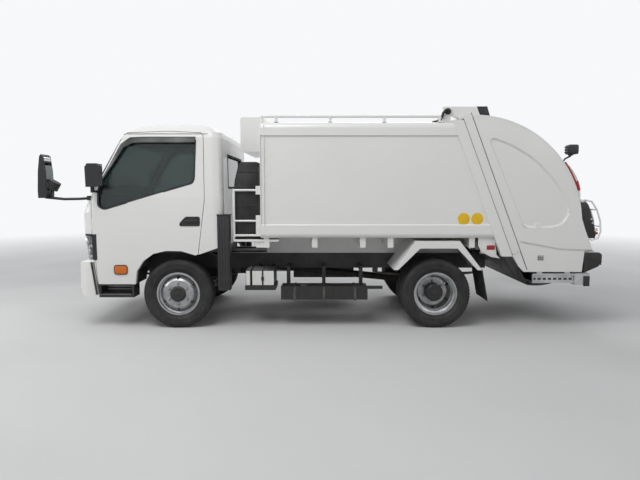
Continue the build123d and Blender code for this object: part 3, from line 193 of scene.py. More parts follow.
def surface(name, colour, rough, metal=0, coat=0, shade=0.86, patch=3, grain=400, bump=0.05, dirt=0,
            dirt_top=1.3, stretch=None):
    """Finish with uneven colour and roughness, fine relief, and road dirt that fades with height."""
    look = Look(name)
    broad = look.noise(patch, 5)
    tone = look.blend(look.spread(broad, 0, 1), colour, [c * shade for c in colour])
    if dirt:
        height = look.add("SeparateXYZ", "Z", {"Vector": look.place})
        patchy = look.spread(look.noise(patch * 4, 6, (1, 1, 0.35)), 0.25, 1)
        share = look.join("MULTIPLY", look.spread(height, dirt, 0, 0.15, dirt_top), patchy)
        tone = look.blend(share, tone, DUST)
    look.shade({
        "Base Color": tone, "Roughness": look.spread(broad, rough * 0.8, min(rough * 1.25, 1)),
        "Normal": look.relief(look.noise(grain, 3, stretch), bump), "Metallic": metal,
        "Coat Weight": coat, "Coat Roughness": 0.08})
    return look


def clear_surface(name, colour, rough, through, ribs=0):
    """Glass or a moulded lens, smudged a little, with moulded ribs where asked."""
    look = Look(name)
    smear = look.noise(6, 5)
    look.shade({
        "Base Color": look.blend(look.spread(smear, 0, 1), colour, [c * 0.85 for c in colour]),
        "Roughness": look.spread(smear, rough, rough * 2.5 + 0.01),
        "Transmission Weight": through, "IOR": 1.46})
    if ribs:
        look.shade({"Normal": look.relief(look.wave("Y", 60), ribs)})
    return look


def cloth_surface(name, colour):
    """Woven seat cover."""
    look = Look(name)
    crossing = look.join("MULTIPLY", look.wave("X", 180, 0.6), look.wave("Z", 180, 0.6))
    look.shade({
        "Base Color": look.blend(crossing, [c * 0.7 for c in colour], [min(c * 1.5, 1) for c in colour]),
        "Roughness": look.spread(crossing, 0.95, 0.8, 0, 1), "Sheen Weight": 0.3,
        "Normal": look.relief(crossing, 0.4, 0.001)})
    return look


# Solid finishes: name, colour, roughness and what differs from a plain surface; no colour means the paint's
SURFACES = (
    ("white_paint", None, 0.32,
     dict(coat=0.45, shade=0.965, patch=1.6, grain=260, bump=0.015, dirt=0.1, dirt_top=1)),
    ("grey_paint", (0.022, 0.022, 0.024), 0.5, dict(patch=6, bump=0.12, dirt=0.12, dirt_top=1)),
    ("black_paint", (0.007, 0.007, 0.008), 0.42, dict(patch=6, bump=0.12, dirt=0.07, dirt_top=1)),
    ("rim_paint", (0.44, 0.45, 0.46), 0.36,
     dict(metal=0.75, shade=0.6, patch=14, grain=600, bump=0.08, dirt=0.12, dirt_top=0.9)),
    ("tyre", (0.008, 0.008, 0.0085), 0.74,
     dict(shade=1.5, patch=9, grain=900, bump=0.25, dirt=0.06, dirt_top=0.7)),
    ("iron", (0.022, 0.02, 0.019), 0.68,
     dict(metal=0.3, patch=12, grain=260, bump=0.35, dirt=0.16, dirt_top=0.9)),
    ("spring_steel", (0.05, 0.05, 0.052), 0.5,
     dict(metal=0.7, patch=10, bump=0.2, dirt=0.4, dirt_top=0.9, stretch=(1, 1, 14))),
    ("steel", (0.32, 0.32, 0.33), 0.38,
     dict(metal=0.9, shade=0.6, patch=7, grain=500, bump=0.15, dirt=0.3, stretch=(1, 12, 1))),
    ("alu", (0.55, 0.56, 0.57), 0.4,
     dict(metal=0.85, shade=0.75, patch=9, grain=700, bump=0.12, dirt=0.2, dirt_top=0.8, stretch=(14, 1, 1))),
    ("chrome_rod", (0.7, 0.71, 0.73), 0.12, dict(metal=1, shade=0.9, patch=20, grain=900, bump=0.02)),
    ("black_plastic", (0.01, 0.01, 0.011), 0.5,
     dict(patch=8, grain=1100, bump=0.22, dirt=0.07, dirt_top=0.9)),
    ("grey_plastic", (0.11, 0.11, 0.115), 0.62, dict(patch=8, grain=1100, bump=0.2)),
    ("rubber", (0.01, 0.01, 0.0105), 0.66, dict(patch=8, grain=700, bump=0.2, dirt=0.07)),
    ("mirror_glass", (0.75, 0.78, 0.8), 0.03, dict(metal=1, shade=0.95, bump=0)),
    ("reflector", (0.85, 0.86, 0.88), 0.09, dict(metal=1, shade=0.85, patch=20, bump=0.04)),
    ("yellow", (0.85, 0.52, 0.01), 0.4, dict(shade=0.9, patch=12, grain=500)),
    ("plate_white", (0.8, 0.8, 0.78), 0.35, dict(shade=0.92, patch=9, grain=500, dirt=0.2)),
)
# Glass and lenses: name, colour, roughness, how much light goes through, ribs
LENSES = (
    ("glass", (0.17, 0.23, 0.22), 0.012, 0.9, 0),
    ("lamp", (0.86, 0.88, 0.9), 0.02, 0.92, 0),
    ("lamp_red", (0.5, 0.01, 0.012), 0.06, 0.25, 0.35),
    ("amber", (0.85, 0.2, 0.01), 0.06, 0.25, 0.35),
    ("pale_lens", (0.88, 0.87, 0.84), 0.05, 0.25, 0.3),
    ("visor", (0.006, 0.007, 0.008), 0.22, 0, 0),
)
LOOKS = {}


# ---- Mesh helpers ----

def round_edges(bm, verts, bevel, segments=2):
    """Round the edges that meet at some points."""
    edges = list({edge for vert in verts for edge in vert.link_edges})
    bmesh.ops.bevel(bm, geom=edges, offset=bevel * MM, segments=segments, affect="EDGES", profile=0.5,
                    material=-1)


def box(bm, x, y, z, bevel=0, segments=2):
    """Block between two limits on each axis, with rounded edges."""
    size = Vector((abs(x[1] - x[0]), abs(y[1] - y[0]), abs(z[1] - z[0]))) * MM
    middle = at(sum(x) / 2, sum(y) / 2, sum(z) / 2)
    made = bmesh.ops.create_cube(bm, size=1)["verts"]
    bmesh.ops.transform(bm, matrix=Matrix.Translation(middle) @ Matrix.Diagonal((*size, 1)), verts=made)
    if bevel:
        round_edges(bm, made, bevel, segments)


def rod(bm, start, end, radius, sides=16, tip=None):
    """Round bar or cone between two points given in the truck's millimetres."""
    low, high = at(*start), at(*end)
    run = high - low
    matrix = Matrix.Translation((low + high) / 2) @ run.to_track_quat("Z", "Y").to_matrix().to_4x4()
    wide = radius if tip is None else tip
    bmesh.ops.create_cone(bm, cap_ends=True, segments=sides, radius1=radius * MM, radius2=wide * MM,
                          depth=run.length, matrix=matrix)


def tube(bm, points, radius, sides=14):
    """Bent round tube with ball joints at its bends."""
    for start, end in zip(points, points[1:]):
        rod(bm, start, end, radius, sides)
    for point in points:
        bmesh.ops.create_uvsphere(bm, u_segments=sides, v_segments=8, radius=radius * MM,
                                  matrix=Matrix.Translation(at(*point)))


def lathe(bm, centre, profile, steps=48, axis=OUTWARD):
    """Profile of (radius, distance along the axis) spun about an axis through centre."""
    way = Vector(axis).normalized()
    side = Vector((0, 0, 1)) if abs(way.z) < 0.9 else Vector((1, 0, 0))
    side = (side - way * side.dot(way)).normalized()
    middle = at(*centre)
    verts = [bm.verts.new(middle + side * radius * MM + way * along * MM) for radius, along in profile]
    edges = [bm.edges.new(ends) for ends in zip(verts, verts[1:] + verts[:1])]
    bmesh.ops.spin(bm, geom=verts + edges, cent=middle, axis=way, angle=math.tau, steps=steps, use_merge=True)
    bmesh.ops.remove_doubles(bm, verts=bm.verts, dist=0.00001)


def edge_chain(bm, points, closed):
    """Edges along a run of points."""
    verts = [bm.verts.new(at(*point)) for point in points]
    edges = [bm.edges.new(ends) for ends in zip(verts, verts[1:])]
    if closed:
        edges.append(bm.edges.new((verts[-1], verts[0])))
    return edges


def push_out(bm, faces, push):
    """Give faces thickness along a vector in millimetres, and return the moved points."""
    grown = bmesh.ops.extrude_face_region(bm, geom=faces)
    moved = [item for item in grown["geom"] if isinstance(item, bmesh.types.BMVert)]
    bmesh.ops.translate(bm, vec=Vector(push) * MM, verts=moved)
    return moved


def plate(bm, outline, push, bevel=0):
    """Flat plate from an outline of points, pushed out by a vector in millimetres."""
    face = bm.faces.new([bm.verts.new(at(*point)) for point in outline])
    moved = push_out(bm, [face], push)
    if bevel:
        round_edges(bm, moved, bevel)


def side_plate(bm, outline, y, thick, bevel=0):
    """Plate from an outline in X and Z, standing outward from y."""
    plate(bm, [(x, y, z) for x, z in outline], (0, thick, 0), bevel)


def strip(bm, runs, lift, closed=False):
    """Band between two matching runs of points, given thickness by a lift in millimetres."""
    loops = edge_chain(bm, runs[0], closed) + edge_chain(bm, runs[1], closed)
    push_out(bm, bmesh.ops.bridge_loops(bm, edges=loops)["faces"], lift)


def sheet(bm, rows):
    """Faces through rows of matching points."""
    chains = [edge_chain(bm, row, closed=False) for row in rows]
    faces = []
    for low, high in zip(chains, chains[1:]):
        faces += bmesh.ops.bridge_loops(bm, edges=low + high)["faces"]
    return faces


def skin(bm, rows, thickness):
    """Bent sheet through rows of matching points, thickened inward from its outer side."""
    faces = sheet(bm, rows)
    middle = sum((face.calc_center_median() for face in faces), Vector()) / len(faces)
    bmesh.ops.recalc_face_normals(bm, faces=faces)
    away = sum((face.normal * face.calc_area() for face in faces), Vector())
    if away.dot(Vector((middle.x, middle.y, 0))) < 0:
        bmesh.ops.reverse_faces(bm, faces=faces)
    bmesh.ops.solidify(bm, geom=faces, thickness=thickness * MM)


def finish(bm, name, body, look, slot=None, replaced=(), angle=34):
    """Turn a mesh in the making into a finished piece that rides on a body."""
    bmesh.ops.remove_doubles(bm, verts=bm.verts, dist=0.00002)
    bmesh.ops.recalc_face_normals(bm, faces=bm.faces)
    mesh = bpy.data.meshes.new(name)
    bm.to_mesh(mesh)
    bm.free()
    mesh.shade_smooth()
    mesh.set_sharp_from_angle(angle=math.radians(angle))
    piece = bpy.data.objects.new(name, mesh)
    bpy.context.scene.collection.objects.link(piece)
    mesh.materials.append(LOOKS[look])
    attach(piece, body)
    if replaced:
        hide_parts(*replaced)
    return piece


def cab_row(z):
    """Cab section values at a height: back in, front in, side in, front corner radius, bow."""
    for low, high in zip(CAB_ROWS, CAB_ROWS[1:]):
        if z <= high[0]:
            share = max((z - low[0]) / (high[0] - low[0]), 0)
            return [a + (b - a) * share for a, b in zip(low[1:], high[1:])]
    return CAB_ROWS[-1][1:]


def cab_side(x, z):
    """Distance of the cab's side skin from the middle."""
    _, front_in, side_in, nose, bow = cab_row(z)
    half = CAB_HALF - side_in
    start = CAB_FRONT - front_in - bow - nose
    if x <= start:
        return half
    reach = min(x - start, nose)
    return half - nose + math.sqrt(nose * nose - reach * reach)


def cab_nose(y, z):
    """Place of the cab's front skin along X."""
    _, front_in, side_in, nose, bow = cab_row(z)
    flat = CAB_HALF - side_in - nose
    front = CAB_FRONT - front_in
    if abs(y) <= flat:
        return front - bow * (y / flat) ** 2
    reach = min(abs(y) - flat, nose)
    return front - bow - nose + math.sqrt(nose * nose - reach * reach)


def corner_arc(z, out, last=90, steps=8):
    """Points round the cab's left front corner from 0 to last degrees, its radius made larger by out."""
    _, front_in, side_in, nose, bow = cab_row(z)
    x, y, radius = CAB_FRONT - front_in - bow - nose, CAB_HALF - side_in - nose, nose + out
    turns = [math.radians(last * part / steps) for part in range(steps + 1)]
    return [(x + radius * math.cos(turn), y + radius * math.sin(turn), z) for turn in turns]


def cab_corner(z, inner_y, back_x, inset):
    """Points round the cab's left front corner, from inner_y on the front to back_x on the side."""
    arc = corner_arc(z, -inset)
    back = (min(back_x, arc[-1][0] - 2), arc[-1][1], z)
    return [(cab_nose(inner_y, z) - inset, inner_y, z), *arc, back]


def arc_point(radius, degrees):
    """Point on the tailgate's back arc, measured up from level rearward, as (x, z)."""
    turn = math.radians(degrees)
    return (ARC_X - radius * math.cos(turn), ARC_Z + radius * math.sin(turn))


def arc_strip(bm, radii, turns, y, lift):
    """Strip along the tailgate's back arc, flat on its side, between two radii."""
    runs = [[(x, y, z) for x, z in (arc_point(radius, turn) for turn in turns)] for radius in radii]
    strip(bm, runs, (0, lift, 0))


def on_parting(along, behind):
    """Point at a distance down the line between container and tailgate and behind it, as (x, z)."""
    run_x, run_z = PART_BOTTOM[0] - PART_TOP[0], PART_BOTTOM[1] - PART_TOP[1]
    run = math.hypot(run_x, run_z)
    x = PART_TOP[0] + (run_x * along + run_z * behind) / run
    return (x, PART_TOP[1] + (run_z * along - run_x * behind) / run)


def parting_strip(bm, edges, stations, above, lift):
    """Strip along the parting on the tailgate's side, between two distances behind it."""
    runs = [[on_parting(along, behind) for along in stations] for behind in edges]
    runs = [[(x, TAIL_HALF + above, z) for x, z in run] for run in runs]
    strip(bm, runs, (0, lift, 0))


def corners(points):
    """Each point of a closed outline between the one before it and the one after it."""
    return zip(points[-1:] + points[:-1], points, points[1:] + points[:1])


def grown_outline(points, grow):
    """Outline moved outward by grow, whichever way round it runs."""
    total = sum(x0 * z1 - x1 * z0 for _, (x0, z0), (x1, z1) in corners(points))
    way = 1 if total > 0 else -1
    moved = []
    for (xa, za), (xb, zb), (xc, zc) in corners(points):
        one = Vector((zb - za, xa - xb)).normalized() * way
        two = Vector((zc - zb, xb - xc)).normalized() * way
        shift = (one + two) * (grow / (1 + one.dot(two)))
        moved.append((xb + shift.x, zb + shift.y))
    return moved


def rounded_outline(points, radius, steps=4):
    """Outline with its corners cut by short arcs."""
    made = []
    for before, here, after in corners([Vector(point) for point in points]):
        back, on = before - here, after - here
        cut = min(radius, back.length * 0.45, on.length * 0.45)
        start, end = here + back.normalized() * cut, here + on.normalized() * cut
        for part in range(steps + 1):
            t = part / steps
            made.append(tuple(start * (1 - t) ** 2 + here * 2 * t * (1 - t) + end * t * t))
    return made


SIDES = (("left", 1), ("right", -1))


def both_sides(bm):
    """Repeat everything in the mesh on the other side of the truck's middle plane."""
    geom = list(bm.verts) + list(bm.edges) + list(bm.faces)
    bmesh.ops.mirror(bm, geom=geom, matrix=Matrix.Identity(4), merge_dist=0.00001, axis="Y")


# ---- Steps ----

# Steps of the work, in order: key, label, what it makes, and its functions
STEPS = []


def open_step(key, label, about):
    """Open a step: what is noted from here on belongs to it."""
    STEPS.append((key, label, about, []))


def note(work):
    """Add a function to the open step."""
    STEPS[-1][3].append(work)
    return work


def single(body, look, mirrored=False, **how):
    """Note a function that fills a mesh: its piece rides on body and bears the function's name."""
    def keep(build):
        def work():
            bm = bmesh.new()
            build(bm)
            if mirrored:
                both_sides(bm)
            finish(bm, build.__name__, body, look, **how)
        note(work)
        return build
    return keep


def both(body, look, **how):
    """One piece as above, repeated on the truck's other side."""
    return single(body, look, True, **how)


def pair(body, look, node=None, **how):
    """Left and right pieces made by one function, each on its own side's body."""
    def keep(build):
        def work():
            for side, way in SIDES:
                bm = bmesh.new()
                build(bm)
                bmesh.ops.scale(bm, vec=(1, way, 1), verts=bm.verts)
                replaced = (node + "_" + side,) if node else ()
                finish(bm, build.__name__ + "_" + side, body + "_" + side, look, replaced=replaced, **how)
        note(work)
        return build
    return keep


open_step("finishes", "Finishes", "Every finish, and the construction model's own surfaces")


@note
def dress_frame():
    """Make every finish, and give the construction model's nodes theirs."""
    for name, colour, rough, rest in SURFACES:
        LOOKS[name] = surface(name, colour or tuple(sizes().paint_colour), rough, **rest).made
    for row in LENSES:
        LOOKS[row[0]] = clear_surface(*row).made
    LOOKS["seat_fabric"] = cloth_surface("seat_fabric", (0.12, 0.12, 0.14)).made
    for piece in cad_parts.values():
        for place in piece.material_slots:
            place.material = LOOKS[place.material.name.split(".")[0]]


# ---- Wheels ----

# Half of the tyre's section: radius, distance from its middle
TYRE_PROFILE = (
    (222.6, 74), (224, 76.8), (236, 77), (240, 84), (247, 89.5), (252, 89), (255, 91),
    (275, 98.5), (277, 100.6), (281, 100.9), (283, 99.9), (300, 102.3), (322, 101.8), (324, 102.4),
    (329, 101.6), (331, 99.8), (345, 97), (354, 93), (361, 88), (364.5, 82),
)
TREAD_DEEP = 14
# Rows of tread blocks: distance from the tyre's middle, width, shift in pitches
TREAD_ROWS = ((-68.5, 27, 0), (-34.5, 27, 0.5), (0, 28, 0), (34.5, 27, 0.5), (68.5, 27, 0))


def tyre(bm, x, y):
    """Ring with ribbed side walls, and rows of tread blocks standing on it."""
    other = tuple((radius, -along) for radius, along in TYRE_PROFILE[::-1])
    lathe(bm, (x, y, TYRE_R), TYRE_PROFILE + other, 96)
    count = sizes().tread_blocks
    place = Matrix.Translation(at(x, y, TYRE_R))
    for along, width, phase in TREAD_ROWS:
        made = bmesh.ops.create_cube(bm, size=1)["verts"]
        length = math.tau * TYRE_R / count * 0.82
        shape = Matrix.Diagonal((length * MM, width * MM, TREAD_DEEP * MM, 1))
        bmesh.ops.transform(bm, matrix=shape, verts=made)
        bmesh.ops.translate(bm, vec=(0, along * MM, (TYRE_R - TREAD_DEEP / 2) * MM), verts=made)
        for vert in made:
            if vert.co.z > TYRE_R * MM - 0.001:
                vert.co.z -= 0.0022 * (abs(vert.co.y) / 0.082) ** 2
                vert.co.x *= 0.94
            vert.co.x += (vert.co.y - along * MM) * 0.22
        faces = {face for vert in made for face in vert.link_faces}
        for index in range(count):
            turn = Matrix.Rotation(math.tau / count * (index + phase), 4, "Y")
            if index < count - 1:
                copy = bmesh.ops.duplicate(bm, geom=list(faces))["geom"]
                target = [item for item in copy if isinstance(item, bmesh.types.BMVert)]
            else:
                target = made
            bmesh.ops.transform(bm, matrix=place @ turn, verts=target)


def ring(x, radius, count, phase=0):
    """Points at equal turns about an axle, as (x, z)."""
    turns = [math.tau * (index + phase) / count for index in range(count)]
    return [(x + radius * math.cos(turn), TYRE_R + radius * math.sin(turn)) for turn in turns]


def nuts(bm, x, y):
    """Ring of wheel nuts with cone washers and stud ends, standing outward from y."""
    size = sizes().nut_size / MM / 2
    levels = (y - 1, y + size * 0.2, y, y + size * 0.9, y + size * 1.05, y + size * 1.35)
    for nut_x, nut_z in ring(x, STUD_R, STUDS, 0.5):
        low, washer, face, top, cone, tip = [(nut_x, level, nut_z) for level in levels]
        rod(bm, low, washer, size * 0.82, 24, size * 0.7)
        rod(bm, face, top, size * 0.62, 6)
        rod(bm, top, cone, size * 0.6, 24, size * 0.42)
        rod(bm, face, tip, size * 0.34, 16)


def valve(bm, x, y, reach):
    """Valve stem with its cap, standing out by reach."""
    rod(bm, (x + 118, y - 2, TYRE_R + 150), (x + 121, y + reach * 0.7, TYRE_R + 154), 4, 12)
    rod(bm, (x + 121, y + reach * 0.7, TYRE_R + 154), (x + 122, y + reach, TYRE_R + 155), 5.2, 12)


open_step("wheels", "Tyres and wheel fittings",
          "Tyres, wheel nuts, hub caps and valves of all four wheel bodies")


@pair("wheel_front", "tyre", node="tyre_front", angle=28)
def tyre_tread_front(bm):
    tyre(bm, FRONT_AXLE, WHEEL_Y)


@pair("wheel_rear", "tyre", node="tyre_rear", angle=28)
def tyre_tread_rear(bm):
    tyre(bm, REAR_AXLE, WHEEL_Y)
    tyre(bm, REAR_AXLE, TWIN_Y)


@pair("wheel_front", "steel")
def wheel_nuts_front(bm):
    nuts(bm, FRONT_AXLE, 972.5)


@pair("wheel_rear", "steel")
def wheel_nuts_rear(bm):
    nuts(bm, REAR_AXLE, 775)


@pair("wheel_front", "black_paint")
def hub_cap_front(bm):
    lathe(bm, (FRONT_AXLE, 972, TYRE_R), (
        (84.6, 0.5), (84.6, 11), (80, 16.5), (72, 24), (56, 26.5), (52, 24.5), (30, 25.5),
        (26, 27), (12, 27.5), (0.001, 27.5), (0.001, 22.6), (70, 22.7), (83.6, 10.5), (83.6, 0.5),
    ), 64)
    for x, z in ring(FRONT_AXLE, 64, 5):
        rod(bm, (x, 994, z), (x, 999.5, z), 5.5, 6)


@pair("wheel_rear", "black_paint", slot="iron")
def axle_flange_rear(bm):
    lathe(bm, (REAR_AXLE, 905, TYRE_R), (
        (84, 0.2), (84, 5), (80, 8), (38, 8.5), (34, 14), (12, 16), (0.001, 16), (0.001, 0.2),
    ), 64)
    for x, z in ring(REAR_AXLE, 62, 8):
        rod(bm, (x, 912, z), (x, 921, z), 9, 6)
    lathe(bm, (REAR_AXLE, 905, TYRE_R), (
        (92.4, -140), (92.4, -11), (77, 0.6), (70, 0.6), (70, 2.4), (77.8, 2.4), (94.6, -10), (94.6, -140),
    ), 64)


@pair("wheel_front", "steel")
def valve_front(bm):
    valve(bm, FRONT_AXLE, 938, 34)


@pair("wheel_rear", "steel")
def valve_rear(bm):
    valve(bm, REAR_AXLE, 782, 60)


# ---- Cab ----

def outline_strip(bm, points, y_at, inner, outer, lift, rounded=40):
    """Raised band round an outline in X and Z, on a side surface given by y_at."""
    shape = rounded_outline(points, rounded)
    runs = [[(x, y_at(x, z), z) for x, z in grown_outline(shape, grow)] for grow in (inner, outer)]
    strip(bm, runs, (0, lift, 0), closed=True)


open_step("doors", "Door seals, handles and lining",
          "Window seals, handles, rain shields and lining of the doors")


@pair("door", "rubber")
def window_seal(bm):
    outline_strip(bm, WINDOW, lambda x, z: cab_side(x, z) - 3, -sizes().seal_width / MM, 5, 5)


@pair("door", "black_plastic")
def door_handle(bm):
    outline = [(1706, 1118), (1706, 1146), (1642, 1215), (1492, 1215), (1492, 1118)]
    side_plate(bm, rounded_outline(outline, 20), 994.5, 2)
    outline_strip(bm, outline, lambda x, z: 994.8, -7, 3, 4, 20)
    box(bm, (1512, 1652), (995.5, 1004.5), (1152, 1184), 4, 3)
    lathe(bm, (1680, 996, 1136), ((0.001, 0), (9, 0), (9, 2), (6.5, 3.2), (0.001, 3.2)), 24)


@pair("door", "visor", slot="black_plastic")
def rain_shield(bm):
    top = ((2532, 1625), (2460, 1755), (2330, 1990), (2226, 2062), (2100, 2068), (1900, 2068), (1700, 2068),
           (1530, 2068))
    low = ((2512, 1608), (2428, 1738), (2286, 1952), (2196, 1998), (2096, 2004), (1900, 2004), (1700, 2004),
           (1536, 2006))
    rows = []
    for share, lift in ((0, 4), (0.45, 22), (1, 30)):
        ends = zip(top, low)
        points = [(xa + (xb - xa) * share, za + (zb - za) * share) for (xa, za), (xb, zb) in ends]
        rows.append([(x, cab_side(x, z) + lift, z) for x, z in points])
    skin(bm, rows, 3)


@pair("door", "grey_plastic")
def door_lining(bm):
    box(bm, (1560, 2520), (918, 932), (1040, 1240), 6)
    box(bm, (1640, 2080), (890, 926), (1180, 1222), 12, 3)
    box(bm, (1700, 2420), (896, 928), (900, 1020), 10, 3)
    tube(bm, ((1760, 924, 1120), (1760, 884, 1120), (1900, 884, 1120), (1900, 924, 1120)), 8, 10)


open_step("cab", "Cab front, lamps and trim",
          "Seals, wipers, grille, lamps, markers, hooks, steps, ducts and dashboard trim of the cab")


@single("cab", "rubber")
def windscreen_seal(bm):
    dense = []
    for _, (y0, z0), (y1, z1) in corners([(-890, 1540), (890, 1540), (825, 2035), (-825, 2035)]):
        dense += [(y0 + (y1 - y0) * part / 8, z0 + (z1 - z0) * part / 8) for part in range(8)]
    runs = [[(cab_nose(y, z) + 1, y, z) for y, z in grown_outline(dense, grow)] for grow in (-26, 8)]
    strip(bm, runs, (3, 0, 0), closed=True)


@single("cab", "rubber")
def rear_window_seal(bm):
    outline = [(-560, 1520), (560, 1520), (560, 1900), (-560, 1900)]
    runs = [[(CAB_BACK + cab_row(z)[0] - 2.5, y, z) for y, z in grown_outline(outline, grow)]
            for grow in (-20, 7)]
    strip(bm, runs, (3.5, 0, 0), closed=True)


@single("cab", "black_plastic")
def wipers(bm):
    for foot_y, tip_y, tip_z in ((-60, -620, 1640), (640, 90, 1640), (300, -230, 1632)):
        foot = (cab_nose(foot_y, 1500) + 10, foot_y, 1500)
        knee = (cab_nose(foot_y, 1545) + 22, foot_y - 30, 1545)
        tip = (cab_nose(tip_y, tip_z) + 20, tip_y, tip_z)
        rod(bm, (foot[0] - 14, foot_y, 1500), (foot[0] + 12, foot_y, 1503), 15, 24, 11)
        tube(bm, (foot, knee, tip), 6, 10)
        ends = []
        for way in (-1, 1):
            y, z = tip_y + way * 310.2, tip_z + way * 52 - 12
            ends.append((cab_nose(y, z) + 9, y, z))
        rod(bm, ends[0], ends[1], 5, 8)
        rod(bm, tip, [(a + b) / 2 for a, b in zip(*ends)], 5, 8)


@single("cab", "black_plastic")
def front_grille(bm):
    for low in range(850, 1003, 38):
        runs = [[(cab_nose(68.5 * part, z) + 0.4, 68.5 * part, z) for part in range(-8, 9)]
                for z in (low, low + 12)]
        strip(bm, runs, (4, 0, 0))
    for low in range(863, 978, 38):
        runs = [[(cab_nose(64.875 * part, z) - 18, 64.875 * part, z) for part in range(-8, 9)]
                for z in (low, low + 24)]
        strip(bm, runs, (3, 0, 0))
        for y in range(-510, 511, 30):
            front = cab_nose(y, low) - 16
            box(bm, (front, front + 12), (y - 2, y + 2), (low, low + 24))
    for way in (1, -1):
        runs = [[(cab_nose(y, z) + 0.4, y, z) for z in (850, 930, 1014)] for y in (way * 520, way * 548)]
        strip(bm, runs, (4, 0, 0))


@single("cab", "black_plastic")
def bumper_intake(bm):
    for low in (436, 472, 508):
        box(bm, (BUMPER_FRONT - 59.5, BUMPER_FRONT - 11), (-429, 429), (low + 0.6, low + 23.4))
        for y in range(-420, 422, 29):
            box(bm, (BUMPER_FRONT - 12, BUMPER_FRONT - 4), (y - 2, y + 2), (low + 0.6, low + 23.4))
    for way in (1, -1):
        lathe(bm, (BUMPER_FRONT - 44.5, way * 700, 490), (
            (0.001, 0), (47.4, 0), (47.4, 36), (52, 40), (50, 46), (40, 40), (38, 6), (0.001, 6),
        ), 40, axis=AHEAD)
        rear = [(2606, 372), (2656, 726)]
        runs = [[(x + shift, way * 990.4, z) for x, z in rear] for shift in (1, 25)]
        strip(bm, runs, (0, way * 1.2, 0))


@both("cab", "lamp")
def fog_lamp_lenses(bm):
    lathe(bm, (BUMPER_FRONT - 22, 700, 490), (
        (0.001, 0), (37.5, 0), (37.5, 4), (30, 9), (16, 12), (0.001, 13),
    ), 40, axis=AHEAD)


@both("cab", "reflector", slot="chrome_rod")
def fog_lamp_bowls(bm):
    lathe(bm, (BUMPER_FRONT - 38, 700, 490), (
        (0.001, 0), (14, 0.5), (28, 5), (36.5, 14), (37.3, 14), (37.3, 10), (28, 0),
        (14, -2), (0.001, -2),
    ), 40, axis=AHEAD)


@both("cab", "rubber")
def pillar_bands(bm):
    rows = []
    for z, last in ((1532, 66), (1640, 60), (1780, 52), (1920, 44), (2050, 40)):
        inner = 892 - (z - 1540) * 0.13
        rows.append([(cab_nose(inner, z) + 1.2, inner, z)] + corner_arc(z, 1.6, last, 6))
    skin(bm, rows, 2.5)


@both("cab", "lamp", replaced=("headlamps",))
def headlamp_lens(bm):
    skin(bm, [cab_corner(z, LAMP_IN, LAMP_BACK + 46, 0.5) for z in LAMP_LEVELS], 4)


@both("cab", "black_plastic")
def headlamp_housing(bm):
    skin(bm, [cab_corner(z, LAMP_IN, LAMP_BACK, 52) for z in LAMP_LEVELS], 4)
    for z in (LAMP_LOW + 4, LAMP_HIGH - 4):
        outer = cab_corner(z, LAMP_IN, LAMP_BACK, 5.5)
        inner = cab_corner(z, LAMP_IN, LAMP_BACK, 54)
        strip(bm, (inner, outer), (0, 0, 4 if z < 900 else -4))
    band = [cab_corner(z, LAMP_IN, LAMP_BACK, 0.4) for z in (1006, 1029)]
    strip(bm, band, (1.5, 1.5, 0))
    back, on = LAMP_BACK + 1, LAMP_BACK + 48
    side_plate(bm, ((back, LAMP_LOW), (on, LAMP_LOW), (on, LAMP_HIGH), (back, LAMP_HIGH)), CAB_HALF - 7.5, 8)


@both("cab", "reflector", slot="chrome_rod")
def headlamp_reflectors(bm):
    for y, z, radius in ((890, 945, 52), (775, 945, 52), (840, 830, 46), (680, 860, 50)):
        front = cab_nose(y, z) - 14
        lathe(bm, (front, y, z), (
            (radius, 0), (radius - 4, -2), (radius * 0.85, -16), (radius * 0.55, -30), (9, -36),
            (9, -39), (radius * 0.6, -34), (radius * 0.92, -18), (radius, -3),
        ), 32, axis=AHEAD)
        rod(bm, (front - 38, y, z), (front - 18, y, z), 7, 12, 5)


@pair("door", "amber", slot="lamp_red")
def side_marker(bm):
    outline = rounded_outline([(2286, 600), (2417, 600), (2417, 688), (2286, 688)], 26, 6)
    side_plate(bm, outline, 994, 12, 4)


@pair("door", "black_plastic")
def side_marker_frame(bm):
    outline = [(2282, 596), (2421, 596), (2421, 692), (2282, 692)]
    outline_strip(bm, outline, lambda x, z: 993.5, -6, 4, 6, 28)


@both("cab", "black_paint")
def tow_hooks(bm):
    tube(bm, ((2700, 330, 372), (2760, 330, 352), (2792, 330, 330), (2796, 330, 306), (2778, 330, 292)), 11)
    box(bm, (2660, 2712), (312, 348), (356, 392), 5)


@both("cab", "alu")
def step_treads(bm):
    for x in range(2256, 2570, 26):
        box(bm, (x, x + 12), (846, 994), (371, 377), 2)
    for z in (410, 440):
        rod(bm, (2256, 842, z), (2560, 842, z), 5, 10)


@both("cab", "black_plastic")
def corner_ducts(bm):
    outline = [(1306, 990), (1180, 990), (1176, 984), (1176, 862), (1243, 862)]
    for degrees in range(180, 115, -8):
        turn = math.radians(degrees)
        outline.append((1355 + 111.5 * math.cos(turn), 885 + 111.5 * math.sin(turn)))
    plate(bm, [(x, y, 418) for x, y in outline], (0, 0, 818), 3)
    for x in (1196, 1228, 1260, 1288):
        box(bm, (x - 5, x + 5), (986, 994), (440, 1218), 2.5)
    box(bm, (1170, 1310), (860, 996), (1226, 1242), 4)


@both("cab", "rubber")
def roof_seam(bm):
    rows = [[(cab_nose(y, z), y, z) for y in range(0, 601, 100)] + cab_corner(z, 690, 1400, 0)
            for z in (2095, 2101)]
    strip(bm, [[(x + 0.5, y + 0.5, z) for x, y, z in row] for row in rows], (1.5, 1.5, 0))


